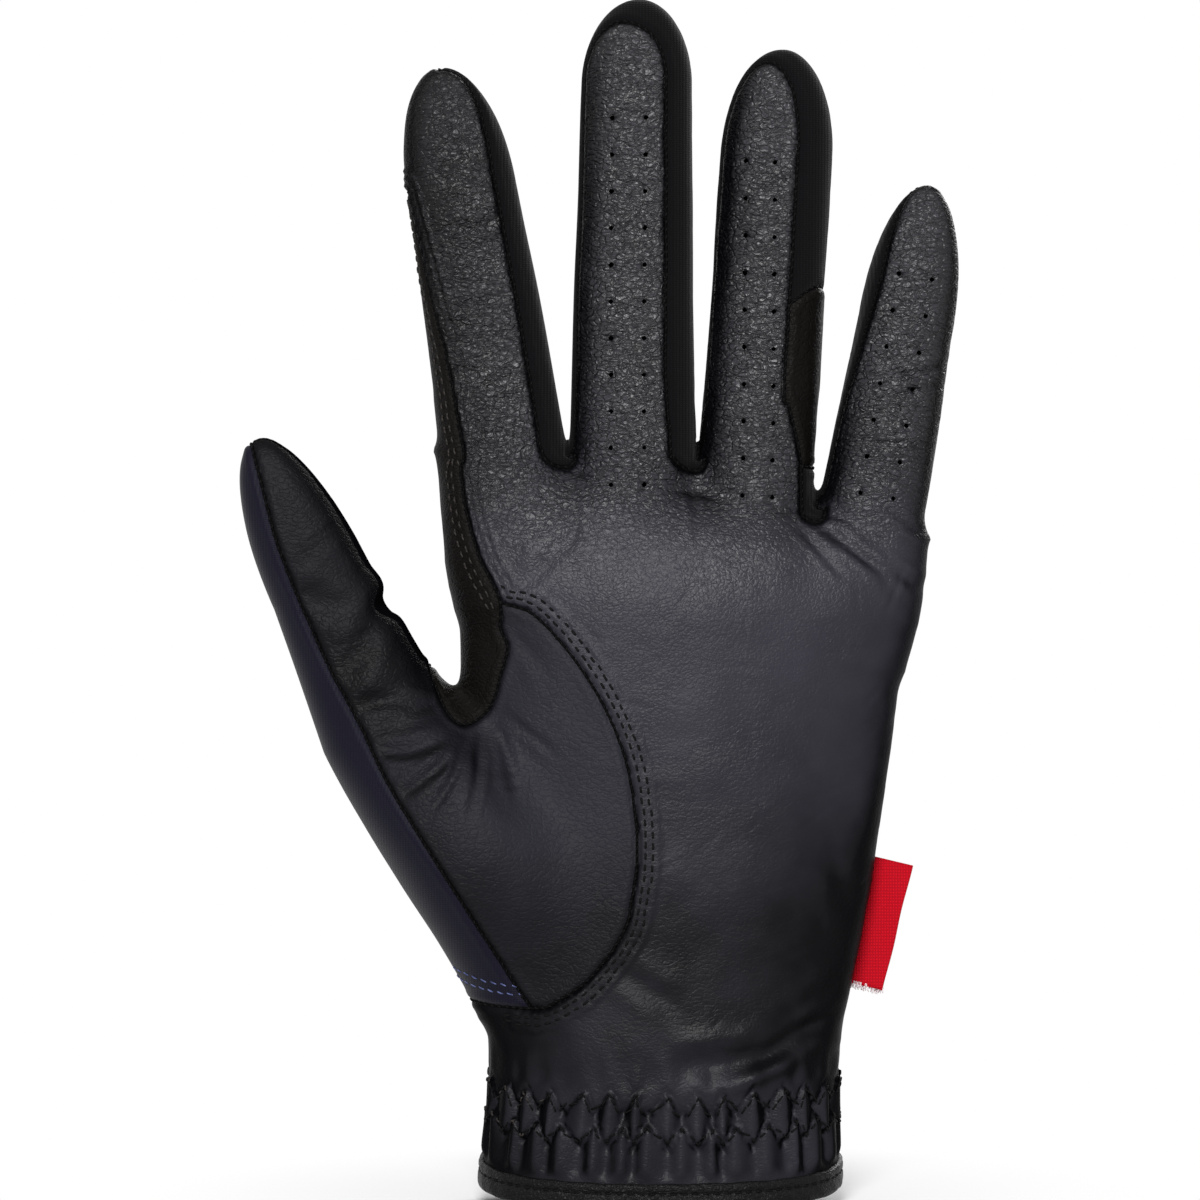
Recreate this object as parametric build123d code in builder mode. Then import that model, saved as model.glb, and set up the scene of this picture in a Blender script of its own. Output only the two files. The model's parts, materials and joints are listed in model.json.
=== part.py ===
from build123d import *
import os
from dataclasses import dataclass, replace
from math import copysign, cos, pi, radians, sin, sqrt, tan

# Left-hand golf glove, standing on its open wrist with the fingers up, in millimetres.
# +Z runs from the hem to the fingertips, the palm faces -Y, the thumb is on the -X side.
# The origin is the centre of the wrist opening.
os.makedirs("parts", exist_ok=True)

# ---- driving dimensions ------------------------------------------------------
leather = 0.9                # thickness of every outer panel
flex_gap = 0.3               # gap between a digit and the palm, at the knuckle line
finger_gap = 0.6             # gap between neighbouring fingers at their roots

# the hand: widths and depths of the palm, from the hem up
hem_width = 64.0
hem_depth = 39.0
hem_tilt = 8.0               # the hem is lower on the palm side
wrist_height = 24.0
wrist_width = 63.0
wrist_depth = 36.0
heel_height = 52.0
heel_width = 71.5
heel_depth = 33.5
knuckle_height = 100.0
knuckle_width = 81.0
knuckle_depth = 29.0
knuckle_shift = 3.4          # the knuckles stand this far towards the little finger
root_rise = 30.5             # from the knuckles up to the fingers' roots
crown_drop = 6.5             # the palm's own rounded top stays this far below it
crown_tilt = 10.0            # and slopes down towards the little finger

# the digits: length from the knuckle line, width and depth there, width where the tip
# starts to round, length of the rounded tip, and sideways lean in degrees
middle_x = -4.9              # the middle finger's root, from the middle of the wrist
middle_length = 82.1
middle_width = 22.6
middle_depth = 18.6
middle_shoulder = 19.4
middle_tip = 15.0
middle_lean = 0.0

index_length = 71.6
index_width = 22.6
index_depth = 18.2
index_shoulder = 19.8
index_tip = 21.6
index_lean = -7.8

ring_drop = 1.2              # the ring finger's root is this much lower than the middle one's
ring_length = 74.8
ring_width = 20.7
ring_depth = 17.6
ring_shoulder = 19.8
ring_tip = 19.0
ring_lean = 3.8

little_drop = 10.9
little_length = 61.1
little_width = 19.2
little_depth = 15.8
little_shoulder = 17.4
little_tip = 25.0
little_lean = 10.4

thumb_out = 9.0              # the thumb's root, outside the edge of the palm
thumb_drop = 17.6            # and below the knuckles
thumb_forward = 3.0          # and in front of the palm's middle plane
thumb_length = 55.9
thumb_width = 23.8
thumb_depth = 21.0
thumb_shoulder = 18.8
thumb_tip = 29.0
thumb_lean = -24.1
thenar_length = 55.0         # the ball of the thumb, inside the palm
thenar_spread = 10.0         # how much wider than the thumb's root it grows
thenar_bulge = 16.5          # how far it stands out of the thumb's own axis

finger_curl = 5.0            # how far each fingertip bends towards the palm
stub_depth = 26.0            # how far a finger's tube reaches down into the palm

# seams
seam_back = 4.5              # the back panels start this far behind the middle plane
tip_seam = 1.5               # and pass this far behind a fingertip
wall_end = 3.0               # a side wall that doesn't close over the tip ends this far below it
egg_width = 49.0             # the oval thumb piece let into the palm
egg_height = 70.0
egg_in = 21.5                # centre of the oval, from the thumb's root
egg_drop = 14.9
gusset_in = 21.0             # small gusset between thumb and forefinger, from the same root
gusset_rise = 20.0
gusset_width = 5.5           # its foot
web_height = 9.0             # fabric below each notch between two fingers
web_width = 14.0
web_drop = 0.3               # the notch lies this far below the lower of the two roots
strip_length = 50.0          # leather strip along the outside of the forefinger
ring_patch_length = 33.0     # leather patch low on the ring finger's outer wall
thumb_seam_share = 0.45      # the thumb's back seam, as a share of its half width
heel_seam_rise = 8.0         # how far the thumb's back panel rises towards the edge of the hand

# cuff
binding = 0.6                # thickness of the folded binding on hem and slit
hem_binding_height = 4.5
elastic_thickness = 0.8
elastic_width = 5.5
elastic_lower = 7.0          # height of the lower edge of each elastic above the hem
elastic_upper = 13.2
slit_x = 4.5
slit_width = 3.0
slit_height = 46.0
slit_binding_width = 3.0

# hook-and-loop closure on the back
loop_thickness = 0.6
hook_thickness = 0.5
hook_gap = 0.3               # between the hooks and the loops, and at the tab's hinge
tab_thickness = 1.0
tab_bottom = 12.0
tab_height = 27.0
tab_hinge_x = -8.0
tab_length = 34.0
tab_root_length = 6.5
tab_round = 8.0              # corner radius of the tab's free end
patch_margin = 3.0
patch_round = 2.0

# woven label, folded and sewn into the side seam
label_length = 21.0
label_reach = 6.7
label_thickness = 0.9
label_z = 46.5
label_tilt = 13.5

# perforations of the palm-side leather
hole_diameter = 1.1
hole_pitch = 6.6
hole_columns = 6.0           # between the two columns on a finger
middle_holes = 11
ring_holes = 10
little_holes = 7

# ---- derived ------------------------------------------------------------------
far = 120.0                  # reach of every cutting tool
roundness = 2.35             # exponent of the rounded sections
ring_points = 14             # points in one section
stations = 16                # sections in one digit or palm


@dataclass
class Digit:
    x: float
    y: float
    z: float
    lean: float
    length: float
    width: float
    depth: float
    shoulder: float
    tip: float
    twist: float             # how far the seams turn round the digit, in degrees
    front: float             # front seam, as a share of the half depth
    cap: float               # the side walls close over the tip from this far below it


root_height = knuckle_height + root_rise
middle = Digit(middle_x, 0.0, root_height, middle_lean, middle_length, middle_width, middle_depth,
               middle_shoulder, middle_tip, -14.0, 0.70, 7.7)
index_x = middle.x - (middle_width + index_width) / 2 - finger_gap
index = Digit(index_x, 0.0, root_height, index_lean, index_length, index_width, index_depth,
              index_shoulder, index_tip, 0.0, 0.84, 0.0)
ring_x = middle.x + (middle_width + ring_width) / 2 + finger_gap
ring = Digit(ring_x, 0.0, root_height - ring_drop, ring_lean, ring_length, ring_width, ring_depth,
             ring_shoulder, ring_tip, -22.0, 0.72, 4.5)
little_x = ring.x + (ring_width + little_width) / 2 + finger_gap
little = Digit(little_x, 0.0, root_height - little_drop, little_lean, little_length, little_width,
               little_depth, little_shoulder, little_tip, 13.0, 0.5, 0.0)
thumb_x = -knuckle_width / 2 - thumb_out
thumb = Digit(thumb_x, -thumb_forward, knuckle_height - thumb_drop, thumb_lean, thumb_length,
              thumb_width, thumb_depth, thumb_shoulder, thumb_tip, 42.0, 0.0, 0.0)
fingers = (index, middle, ring, little)


# ---- forms ----------------------------------------------------------------------
def section(plane, half_width, front, back, shift=0.0):
    """Rounded closed section: a superellipse with its own depth in front and behind."""
    points = []
    for i in range(ring_points):
        angle = 2 * pi * i / ring_points
        c, s = cos(angle), sin(angle)
        depth = back if s > 0 else front
        x = half_width * copysign(abs(c) ** (2 / roundness), c)
        y = depth * copysign(abs(s) ** (2 / roundness), s)
        points.append((shift + x, y))
    with BuildSketch(plane) as sketch:
        with BuildLine():
            Spline(*points, periodic=True)
        make_face()
    return sketch.sketch


def root_plane(d):
    """Plane across the root of a digit, its normal along the digit."""
    a = radians(d.lean)
    return Plane(origin=(d.x, d.y, d.z), x_dir=(cos(a), 0, -sin(a)), z_dir=(sin(a), 0, cos(a)))


def half_width(d, s):
    straight = d.length - d.tip
    if s <= straight:
        return (d.width + (d.shoulder - d.width) * s / straight) / 2
    return d.shoulder / 2 * sqrt(max(0.0, 1 - ((s - straight) / d.tip) ** 2))


def half_depth(d, s):
    return half_width(d, s) * d.depth / d.width


def curl(d, s):
    """How far the digit's middle line lies towards the palm at the distance s."""
    return -finger_curl * (max(0.0, s) / d.length) ** 2


def inset(d, t):
    return replace(d, length=d.length - t, width=d.width - 2 * t, depth=d.depth - 2 * t,
                   shoulder=d.shoulder - 2 * t, tip=d.tip - t)


def digit_form(d, start):
    """Solid digit from the distance start to its tip, lofted through evenly spaced stations."""
    root = root_plane(d)
    with BuildPart() as form:
        sections = []
        for i in range(stations):
            s = start + (d.length - start) * i / stations
            plane = root.offset(s)
            plane = Plane(plane.origin + (0, curl(d, s), 0), x_dir=root.x_dir, z_dir=root.z_dir)
            sections.append(section(plane, half_width(d, s), half_depth(d, s), half_depth(d, s)))
        top = root.offset(d.length).origin + (0, curl(d, d.length), 0)
        loft(sections=[*sections, Vertex(*top)])
    return form.part


def stub_form(d, t, end):
    """The part of a finger's tube that belongs to the palm, narrowing as it runs down into it."""
    with BuildPart() as form:
        sections = []
        for drop, share in ((stub_depth, 0.80), (stub_depth * 2 / 3, 0.95), (stub_depth / 3, 1.0), (-end, 1.0)):
            plane = root_plane(d).offset(-drop)
            sections.append(section(plane, d.width / 2 * share - t, d.depth / 2 - t, d.depth / 2 - t))
        loft(sections=sections)
    return form.part


def thenar_form(t, end):
    """The ball of the thumb, from inside the palm to the thumb's root."""
    d = thumb
    with BuildPart() as form:
        sections = []
        for share in (1.0, 0.8, 0.6, 0.4, 0.2, -end / thenar_length):
            k = max(share, 0.0)
            left = -d.width / 2 * (1 - 0.66 * k ** 1.4)
            right = d.width / 2 + thenar_spread * sin(0.75 * pi * k)
            front = d.depth / 2 + (thenar_bulge - d.depth / 2) * sin(pi * k / 0.9)
            plane = root_plane(d).offset(-share * thenar_length)
            sections.append(section(plane, (right - left) / 2 - t, front - t, d.depth / 2 - t,
                                    shift=(left + right) / 2))
        loft(sections=sections)
    return form.part


levels = (
    (-wrist_height, hem_width, hem_depth),
    (0.0, hem_width, hem_depth),
    (wrist_height, wrist_width, wrist_depth),
    (heel_height, heel_width, heel_depth),
    ((heel_height + knuckle_height) / 2, (heel_width + knuckle_width) / 2, (heel_depth + knuckle_depth) / 2),
    (knuckle_height, knuckle_width, knuckle_depth),
)


def palm_size(z):
    """Width and depth of the hand at the height z, along a smooth line through the levels."""
    i = 1
    while i < len(levels) - 2 and z > levels[i + 1][0]:
        i += 1
    low, high = levels[i], levels[i + 1]
    before, after = levels[i - 1], levels[min(i + 2, len(levels) - 1)]
    span = high[0] - low[0]
    k = (z - low[0]) / span
    sizes = []
    for j in (1, 2):
        start_slope = (high[j] - before[j]) / (high[0] - before[0]) * span
        end_slope = (after[j] - low[j]) / (after[0] - low[0]) * span
        sizes.append(low[j] * (2 * k ** 3 - 3 * k ** 2 + 1) + start_slope * (k ** 3 - 2 * k ** 2 + k)
                     + high[j] * (3 * k ** 2 - 2 * k ** 3) + end_slope * (k ** 3 - k ** 2))
    return sizes


def palm_form(t):
    """Solid hand below the fingers; t insets its surface, or grows it where t is negative."""
    low = -wrist_height / 3
    dome = root_height - crown_drop - knuckle_height - t
    with BuildPart() as form:
        sections = []
        for i in range(stations):
            s = low + (knuckle_height + 0.96 * dome - low) * i / (stations - 1)
            width, depth = palm_size(min(s, knuckle_height))
            rise = min(max(0.0, (s - heel_height) / (knuckle_height - heel_height)), 1.0)
            lean = radians(crown_tilt * rise ** 2 * (3 - 2 * rise))
            shift = knuckle_shift * min(max(s, 0.0) / knuckle_height, 1.0)
            k = max(0.0, (s - knuckle_height) / dome)
            over = s - min(s, knuckle_height)
            root_share = middle_depth / knuckle_depth
            depth *= (1 - (1 - root_share) * k) * sqrt(1 - 0.8 * k ** 6)
            width *= 1 - 0.2 * k ** 3
            plane = Plane(origin=(shift + over * sin(lean), 0, s - over + over * cos(lean)),
                          x_dir=(cos(lean), 0, -sin(lean)), z_dir=(sin(lean), 0, cos(lean)))
            sections.append(section(plane, width / 2 - t, depth / 2 - t, depth / 2 - t))
        loft(sections=sections)
    return form.part


def notch(a, b):
    """Bottom of the notch between two neighbouring fingers."""
    left = root_plane(a).from_local_coords((a.width / 2, 0, 0))
    right = root_plane(b).from_local_coords((-b.width / 2, 0, 0))
    return Vector((left.X + right.X) / 2, 0, min(left.Z, right.Z) - web_drop)


def notch_form(a, b, t):
    """The saddle that joins two neighbouring finger tubes below their notch."""
    low = notch(a, b)
    reach = (a.width + b.width) / 4
    with BuildPart() as form:
        sections = []
        for drop, deep in ((t, 0.45), (stub_depth / 4, 0.75), (stub_depth / 2, 0.85)):
            plane = Plane.XY.offset(low.Z - drop)
            sections.append(section(plane, reach, a.depth / 2 * deep - t, a.depth / 2 * deep - t, low.X))
        loft(sections=sections)
    return form.part


def hand_form(t):
    """The whole hand below the digits' roots, with a short length of every finger tube."""
    over = 1.0 + t
    with BuildPart() as form:
        add(palm_form(t))
        add(thenar_form(t, over))
        for d in fingers:
            add(stub_form(d, t, over))
        for a, b in zip(fingers, fingers[1:]):
            add(notch_form(a, b, t))
    return form.part


# ---- cutting tools ----------------------------------------------------------------
hem_plane = Plane(origin=(0, 0, 0), x_dir=(1, 0, 0),
                  z_dir=(0, -sin(radians(hem_tilt)), cos(radians(hem_tilt))))
front_plane = Plane.XZ       # its sketches hold (x, z)


def slab(low, high):
    """Layer between two heights above the hem."""
    with BuildPart() as tool:
        with BuildSketch(hem_plane.offset(low)):
            Rectangle(2 * far, 2 * far)
        extrude(amount=high - low)
    return tool.part


def prism(points, front, back):
    """Prism over an outline of (x, z) points, from front to back."""
    with BuildPart() as tool:
        with BuildSketch(front_plane.offset(-back)):
            with BuildLine():
                Polyline(*points, close=True)
            make_face()
        extrude(amount=back - front)
    return tool.part


def layer(low, high, region):
    """Shell that follows the hand inside a region, between two distances outside its surface."""
    with BuildPart() as shell:
        add(palm_form(-high))
        add(region, mode=Mode.INTERSECT)
        add(palm_form(-low), mode=Mode.SUBTRACT)
    return shell.part


def seam_points(d, share, low_share):
    """Front or back seam up to where the tip starts: (depth, distance along the digit) points."""
    points = []
    straight = d.length - d.tip
    for s, k in ((-1.0, low_share), (0.2 * straight, share), (0.6 * straight, share), (straight, share)):
        points.append((curl(d, s) * cos(radians(d.twist)) + k * half_depth(d, s), s))
    return points


def side_plane(d):
    """Plane along the digit, turned with its seams: x is depth, y runs along the digit."""
    root = root_plane(d)
    a = radians(d.twist)
    out = root.x_dir * cos(a) + Vector(0, 1, 0) * sin(a)
    return Plane(origin=root.origin, x_dir=root.x_dir * -sin(a) + Vector(0, 1, 0) * cos(a), z_dir=out)


def wall_tool(d, left, right, low_share):
    """Everything behind a digit's front seam, to the left and right of its middle by the given reach."""
    front = seam_points(d, -d.front, -low_share)
    if d.cap:
        front.append((-far / 4, d.length - d.cap))
        corner = (-far / 4, d.length + 4)
    else:
        corner = (curl(d, d.length) + d.depth / 2, d.length - wall_end)
        front.append(corner)
    with BuildPart() as tool:
        with BuildSketch(side_plane(d).offset(-left)):
            with BuildLine():
                Spline(*front)
                if d.cap:
                    Line(front[-1], corner)
                Polyline(corner, (far / 3, corner[1]), (far / 3, -1.0), front[0])
            make_face()
        extrude(amount=left + right)
    return tool.part


def back_tool(d):
    """Everything behind the back seam of a digit."""
    share = seam_back / (d.depth / 2)
    line = seam_points(d, share, share)
    line.append((curl(d, d.length) * cos(radians(d.twist)) + tip_seam, d.length + 2))
    with BuildPart() as tool:
        with BuildSketch(side_plane(d).offset(-far / 2)):
            with BuildLine():
                Spline(*line)
                Polyline(line[-1], (far / 2, d.length + 2), (far / 2, -1.0), line[0])
            make_face()
        extrude(amount=far)
    return tool.part


def hole_tool(d, count, tops, feet):
    """Perforations of a digit: two columns, each from its top to its foot, as (across, along)."""
    root = root_plane(d)
    places = []
    for top, foot in zip(tops, feet):
        for i in range(count):
            k = i / (count - 1)
            places.append((top[0] + (foot[0] - top[0]) * k, top[1] + (foot[1] - top[1]) * k))
    with BuildPart() as tool:
        with BuildSketch(Plane(origin=root.origin, x_dir=root.x_dir, z_dir=(0, -1, 0))):
            with Locations(*places):
                Circle(hole_diameter / 2)
        extrude(amount=far / 4)
    return tool.part


def root_block(d):
    """Space above a digit's root, which the palm leaves free."""
    with BuildPart() as tool:
        with BuildSketch(root_plane(d)):
            Rectangle(d.width + finger_gap, d.depth * 2)
        extrude(amount=far / 2)
    return tool.part


def digit_skin(d):
    with BuildPart() as skin:
        add(digit_form(d, flex_gap))
        add(digit_form(inset(d, leather), -1.0), mode=Mode.SUBTRACT)
    return skin.part


# ---- the hand's skin and its regions ------------------------------------------------
with BuildPart() as hand_skin:
    add(hand_form(0.0))
    add(hand_form(leather), mode=Mode.SUBTRACT)
    for digit in (*fingers, thumb):
        add(root_block(digit), mode=Mode.SUBTRACT)
    split(bisect_by=hem_plane.offset(binding), keep=Keep.TOP)

back_of_hand = prism([(-far, -far), (far, -far), (far, 2 * far), (-far, 2 * far)], seam_back, far / 2)

# the navy back panel of the thumb wraps round to the palm side, left of a straight seam
thumb_root = root_plane(thumb)
navy_top = thumb_root.from_local_coords((-thumb_seam_share * thumb_width / 2, 0, 0))
navy_out = thumb_root.from_local_coords((-far / 3, 0, 0))
egg_x = thumb.x + egg_in
egg_z = thumb.z - egg_drop
egg_bottom = egg_z - egg_height / 2
navy_low = (egg_x + 0.06 * egg_width, egg_bottom + 0.5)
heel_out = (navy_low[0] - 3 * 14.8, navy_low[1] + 3 * heel_seam_rise)
navy_region = prism([(navy_top.X, navy_top.Z), navy_low, heel_out, (navy_out.X, navy_out.Z)], -far / 2, far / 2)

with BuildPart() as egg_tool:
    with BuildSketch(front_plane.offset(-seam_back)):
        with Locations((egg_x, egg_z)):
            Ellipse(egg_width / 2, egg_height / 2)
        with BuildLine():
            Polyline((egg_x, egg_bottom), (egg_x, egg_bottom + egg_height), (-far, egg_bottom + egg_height),
                     (-far, egg_bottom), close=True)
        make_face()
    extrude(amount=far)
egg_region = egg_tool.part

thumb_corner = thumb_root.from_local_coords((thumb_width / 2, 0, 0))
strip_edge = root_plane(index).from_local_coords((-index_width / 4, 0, 1))
gusset_x = thumb.x + gusset_in
gusset_foot = thumb.z + 0.5
gusset_region = prism([(strip_edge.X, strip_edge.Z + 1), (gusset_x, thumb.z + gusset_rise),
                       (gusset_x, gusset_foot + gusset_width), (gusset_x - gusset_width, gusset_foot),
                       (thumb_corner.X - 0.5, thumb_corner.Z - 1), (-far, thumb_corner.Z + 8),
                       (-far, strip_edge.Z + 1)], -far / 2, seam_back)

notches = [notch(a, b) for a, b in zip(fingers, fingers[1:])]
web_regions = []
for low, digit in zip(notches, fingers):
    web_regions.append(prism([(low.X, low.Z - web_height), (low.X + web_width / 2, low.Z + 6),
                              (low.X - web_width / 2, low.Z + 6)], -0.4 * digit.depth / 2, seam_back))


# two columns of perforations on three fingers, running on into the palm
column = hole_columns / 2
middle_foot = -0.7 * hole_pitch
middle_top = middle_foot + (middle_holes - 1) * hole_pitch
middle_hole_tool = hole_tool(middle, middle_holes, [(-column - 1, middle_top), (column - 1, middle_top)],
                             [(-column - 1, middle_foot), (column - 1, middle_foot)])
ring_foot = -0.9 * hole_pitch
ring_top = ring_foot + (ring_holes - 1) * hole_pitch
ring_hole_tool = hole_tool(ring, ring_holes, [(-column - 2.6, ring_top), (column - 3.4, ring_top)],
                           [(-column + 0.6, ring_foot), (column, ring_foot)])
little_foot = 0.6 * hole_pitch
little_top = little_foot + (little_holes - 1) * hole_pitch
little_hole_tool = hole_tool(little, little_holes, [(-column, little_top), (column, little_top)],
                             [(-column, little_foot), (column, little_foot)])


# ---- palm side -----------------------------------------------------------------------
with BuildPart() as palm_leather:
    add(hand_skin.part)
    add(back_of_hand, mode=Mode.SUBTRACT)
    add(navy_region, mode=Mode.SUBTRACT)
    add(egg_region, mode=Mode.SUBTRACT)
    add(gusset_region, mode=Mode.SUBTRACT)
    for region in web_regions:
        add(region, mode=Mode.SUBTRACT)
    add(middle_hole_tool, mode=Mode.SUBTRACT)
    add(ring_hole_tool, mode=Mode.SUBTRACT)
palm_panel = palm_leather.part.solids().sort_by(SortBy.VOLUME)[-1]

with BuildPart() as thumb_inset_leather:
    add(hand_skin.part)
    add(egg_region, mode=Mode.INTERSECT)
    add(navy_region, mode=Mode.SUBTRACT)
    add(gusset_region, mode=Mode.SUBTRACT)

with BuildPart() as thumb_inset_back:
    add(hand_skin.part)
    add(navy_region, mode=Mode.INTERSECT)

with BuildPart() as thumb_gusset:
    add(hand_skin.part)
    add(gusset_region, mode=Mode.INTERSECT)

webs = []
for region in web_regions:
    with BuildPart() as web:
        add(hand_skin.part)
        add(region, mode=Mode.INTERSECT)
    webs.append(web.part)

# ---- back of the hand: one stretch panel with a slit at the wrist ------------------------
with BuildPart() as slit_tool:
    with BuildSketch(front_plane.offset(-far / 2)):
        with Locations((slit_x, slit_height / 2 - far / 2)):
            RectangleRounded(slit_width, slit_height + far, slit_width * 0.49)
    extrude(amount=far / 2)

with BuildPart() as slit_surround:
    with BuildSketch(front_plane.offset(-far / 2)):
        with Locations((slit_x, (slit_height + slit_binding_width) / 2 - far / 2)):
            wide = slit_width + 2 * slit_binding_width
            RectangleRounded(wide, slit_height + slit_binding_width + far, wide * 0.49)
    extrude(amount=far / 2)

with BuildPart() as back_panel:
    add(hand_skin.part)
    add(back_of_hand, mode=Mode.INTERSECT)
    add(navy_region, mode=Mode.SUBTRACT)
    add(slit_surround.part, mode=Mode.SUBTRACT)

with BuildPart() as slit_binding:
    add(layer(-leather - binding, binding, slit_surround.part))
    add(slit_tool.part, mode=Mode.SUBTRACT)
    add(slab(hem_binding_height, far), mode=Mode.INTERSECT)

# ---- cuff ----------------------------------------------------------------------------------
with BuildPart() as hem_binding:
    add(layer(-leather - binding, binding, slab(0, hem_binding_height)))
    add(hand_skin.part, mode=Mode.SUBTRACT)
    add(slit_tool.part, mode=Mode.SUBTRACT)

elastics = []
for height in (elastic_lower, elastic_upper):
    with BuildPart() as elastic:
        add(layer(-leather - elastic_thickness, -leather, slab(height, height + elastic_width)))
        add(back_of_hand, mode=Mode.SUBTRACT)
    elastics.append(elastic.part)

# ---- closure on the back: loops on the hand, hooks under the hinged tab ---------------------
tab_low = hook_gap + loop_thickness + hook_thickness
tab_top = tab_low + tab_thickness
tab_start = tab_hinge_x + hook_gap
tab_end = tab_hinge_x + tab_length
tab_z = tab_bottom + tab_height / 2
patch_start = slit_x + slit_width / 2 + slit_binding_width + patch_margin / 2
patch_end = tab_end - patch_margin
patch_height = tab_height - 2 * patch_margin


def patch_tool(start, end, height, rounding):
    """Rounded rectangle on the back of the hand, from one x to the other."""
    with BuildPart() as tool:
        with BuildSketch(front_plane.offset(-far / 2)):
            with Locations(((start + end) / 2, tab_z)):
                RectangleRounded(end - start, height, rounding)
        extrude(amount=far / 2)
    return tool.part


with BuildPart() as loop_patch:
    add(layer(0.0, loop_thickness, patch_tool(patch_start, patch_end, patch_height, patch_round)))

with BuildPart() as hook_patch:
    add(layer(tab_low - hook_thickness, tab_low, patch_tool(patch_start, patch_end, patch_height, patch_round)))

with BuildPart() as closure_tab:
    add(layer(tab_low, tab_top, patch_tool(tab_start - tab_height, tab_end, tab_height, tab_round)))
    split(bisect_by=Plane.YZ.offset(tab_start), keep=Keep.TOP)

with BuildPart() as tab_root:
    add(layer(0.0, tab_top, patch_tool(tab_hinge_x - tab_root_length, tab_hinge_x, tab_height, 1.0)))

# ---- woven label ---------------------------------------------------------------------------------
label_width, label_depth = palm_size(label_z)
label_x = knuckle_shift * label_z / knuckle_height + label_width / 2 + label_reach / 2 - 0.8
with BuildPart() as label_tab:
    with BuildSketch(front_plane.offset(-seam_back + label_thickness / 2)):
        with Locations(Location((label_x, label_z), -label_tilt)):
            Rectangle(label_reach, label_length)
            with Locations((-label_reach / 2, 0)):
                Rectangle(label_reach, label_length * 0.96)
    extrude(amount=-label_thickness)
    add(palm_form(0.0), mode=Mode.SUBTRACT)

# ---- digits ------------------------------------------------------------------------------------------
index_skin = digit_skin(index)
index_wall_region = wall_tool(index, 0.0, far / 3, 0.4)
index_back_region = back_tool(index)
with BuildPart() as strip_tool:
    add(wall_tool(index, far / 3, 0.0, index.front))
    with BuildSketch(root_plane(index).offset(-1.0)):
        Rectangle(far, far)
    extrude(amount=strip_length + 1.0, mode=Mode.INTERSECT)

with BuildPart() as index_sidewall:
    add(index_skin)
    add(index_wall_region, mode=Mode.INTERSECT)
    add(index_back_region, mode=Mode.SUBTRACT)

with BuildPart() as index_outer_strip:
    add(index_skin)
    add(strip_tool.part, mode=Mode.INTERSECT)
    add(index_back_region, mode=Mode.SUBTRACT)

with BuildPart() as index_back:
    add(index_skin)
    add(index_back_region, mode=Mode.INTERSECT)

with BuildPart() as index_leather:
    add(index_skin)
    add(index_wall_region, mode=Mode.SUBTRACT)
    add(strip_tool.part, mode=Mode.SUBTRACT)
    add(index_back_region, mode=Mode.SUBTRACT)

middle_skin = digit_skin(middle)
middle_wall_region = wall_tool(middle, far / 3, far / 3, 0.4)
middle_back_region = back_tool(middle)

with BuildPart() as middle_sidewall:
    add(middle_skin)
    add(middle_wall_region, mode=Mode.INTERSECT)
    add(middle_back_region, mode=Mode.SUBTRACT)

with BuildPart() as middle_back:
    add(middle_skin)
    add(middle_back_region, mode=Mode.INTERSECT)

with BuildPart() as middle_leather:
    add(middle_skin)
    add(middle_wall_region, mode=Mode.SUBTRACT)
    add(middle_back_region, mode=Mode.SUBTRACT)
    add(middle_hole_tool, mode=Mode.SUBTRACT)

ring_skin = digit_skin(ring)
ring_wall_region = wall_tool(ring, far / 3, far / 3, 0.4)
ring_back_region = back_tool(ring)
with BuildPart() as ring_patch_tool:
    with BuildSketch(root_plane(ring).offset(-1.0)):
        with Locations((far / 2, 0)):
            Rectangle(far, far)
    extrude(amount=ring_patch_length + 1.0)

with BuildPart() as ring_sidewall:
    add(ring_skin)
    add(ring_wall_region, mode=Mode.INTERSECT)
    add(ring_back_region, mode=Mode.SUBTRACT)
    add(ring_patch_tool.part, mode=Mode.SUBTRACT)

with BuildPart() as ring_side_patch:
    add(ring_skin)
    add(ring_wall_region, mode=Mode.INTERSECT)
    add(ring_back_region, mode=Mode.SUBTRACT)
    add(ring_patch_tool.part, mode=Mode.INTERSECT)

with BuildPart() as ring_back:
    add(ring_skin)
    add(ring_back_region, mode=Mode.INTERSECT)

with BuildPart() as ring_leather:
    add(ring_skin)
    add(ring_wall_region, mode=Mode.SUBTRACT)
    add(ring_back_region, mode=Mode.SUBTRACT)
    add(ring_hole_tool, mode=Mode.SUBTRACT)

little_skin = digit_skin(little)
little_wall_region = wall_tool(little, far / 3, 0.0, 0.4)
little_back_region = back_tool(little)

with BuildPart() as little_sidewall:
    add(little_skin)
    add(little_wall_region, mode=Mode.INTERSECT)
    add(little_back_region, mode=Mode.SUBTRACT)

with BuildPart() as little_back:
    add(little_skin)
    add(little_back_region, mode=Mode.INTERSECT)

with BuildPart() as little_leather:
    add(little_skin)
    add(little_wall_region, mode=Mode.SUBTRACT)
    add(little_back_region, mode=Mode.SUBTRACT)
    add(little_hole_tool, mode=Mode.SUBTRACT)

# the thumb has no side walls: its back panel is sewn straight to the leather
thumb_skin = digit_skin(thumb)
thumb_seam_depth = -thumb_depth / 5
with BuildPart() as thumb_back_tool:
    with BuildSketch(side_plane(thumb).offset(-far / 2)):
        with BuildLine():
            Polyline((thumb_seam_depth, -1), (thumb_seam_depth, 0.5 * thumb_length),
                     (curl(thumb, thumb_length) + tip_seam, thumb_length + 1), (far / 2, thumb_length + 1),
                     (far / 2, -1), close=True)
        make_face()
    extrude(amount=far)

with BuildPart() as thumb_leather:
    add(thumb_skin)
    add(thumb_back_tool.part, mode=Mode.SUBTRACT)

with BuildPart() as thumb_back:
    add(thumb_skin)
    add(thumb_back_tool.part, mode=Mode.INTERSECT)

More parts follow.
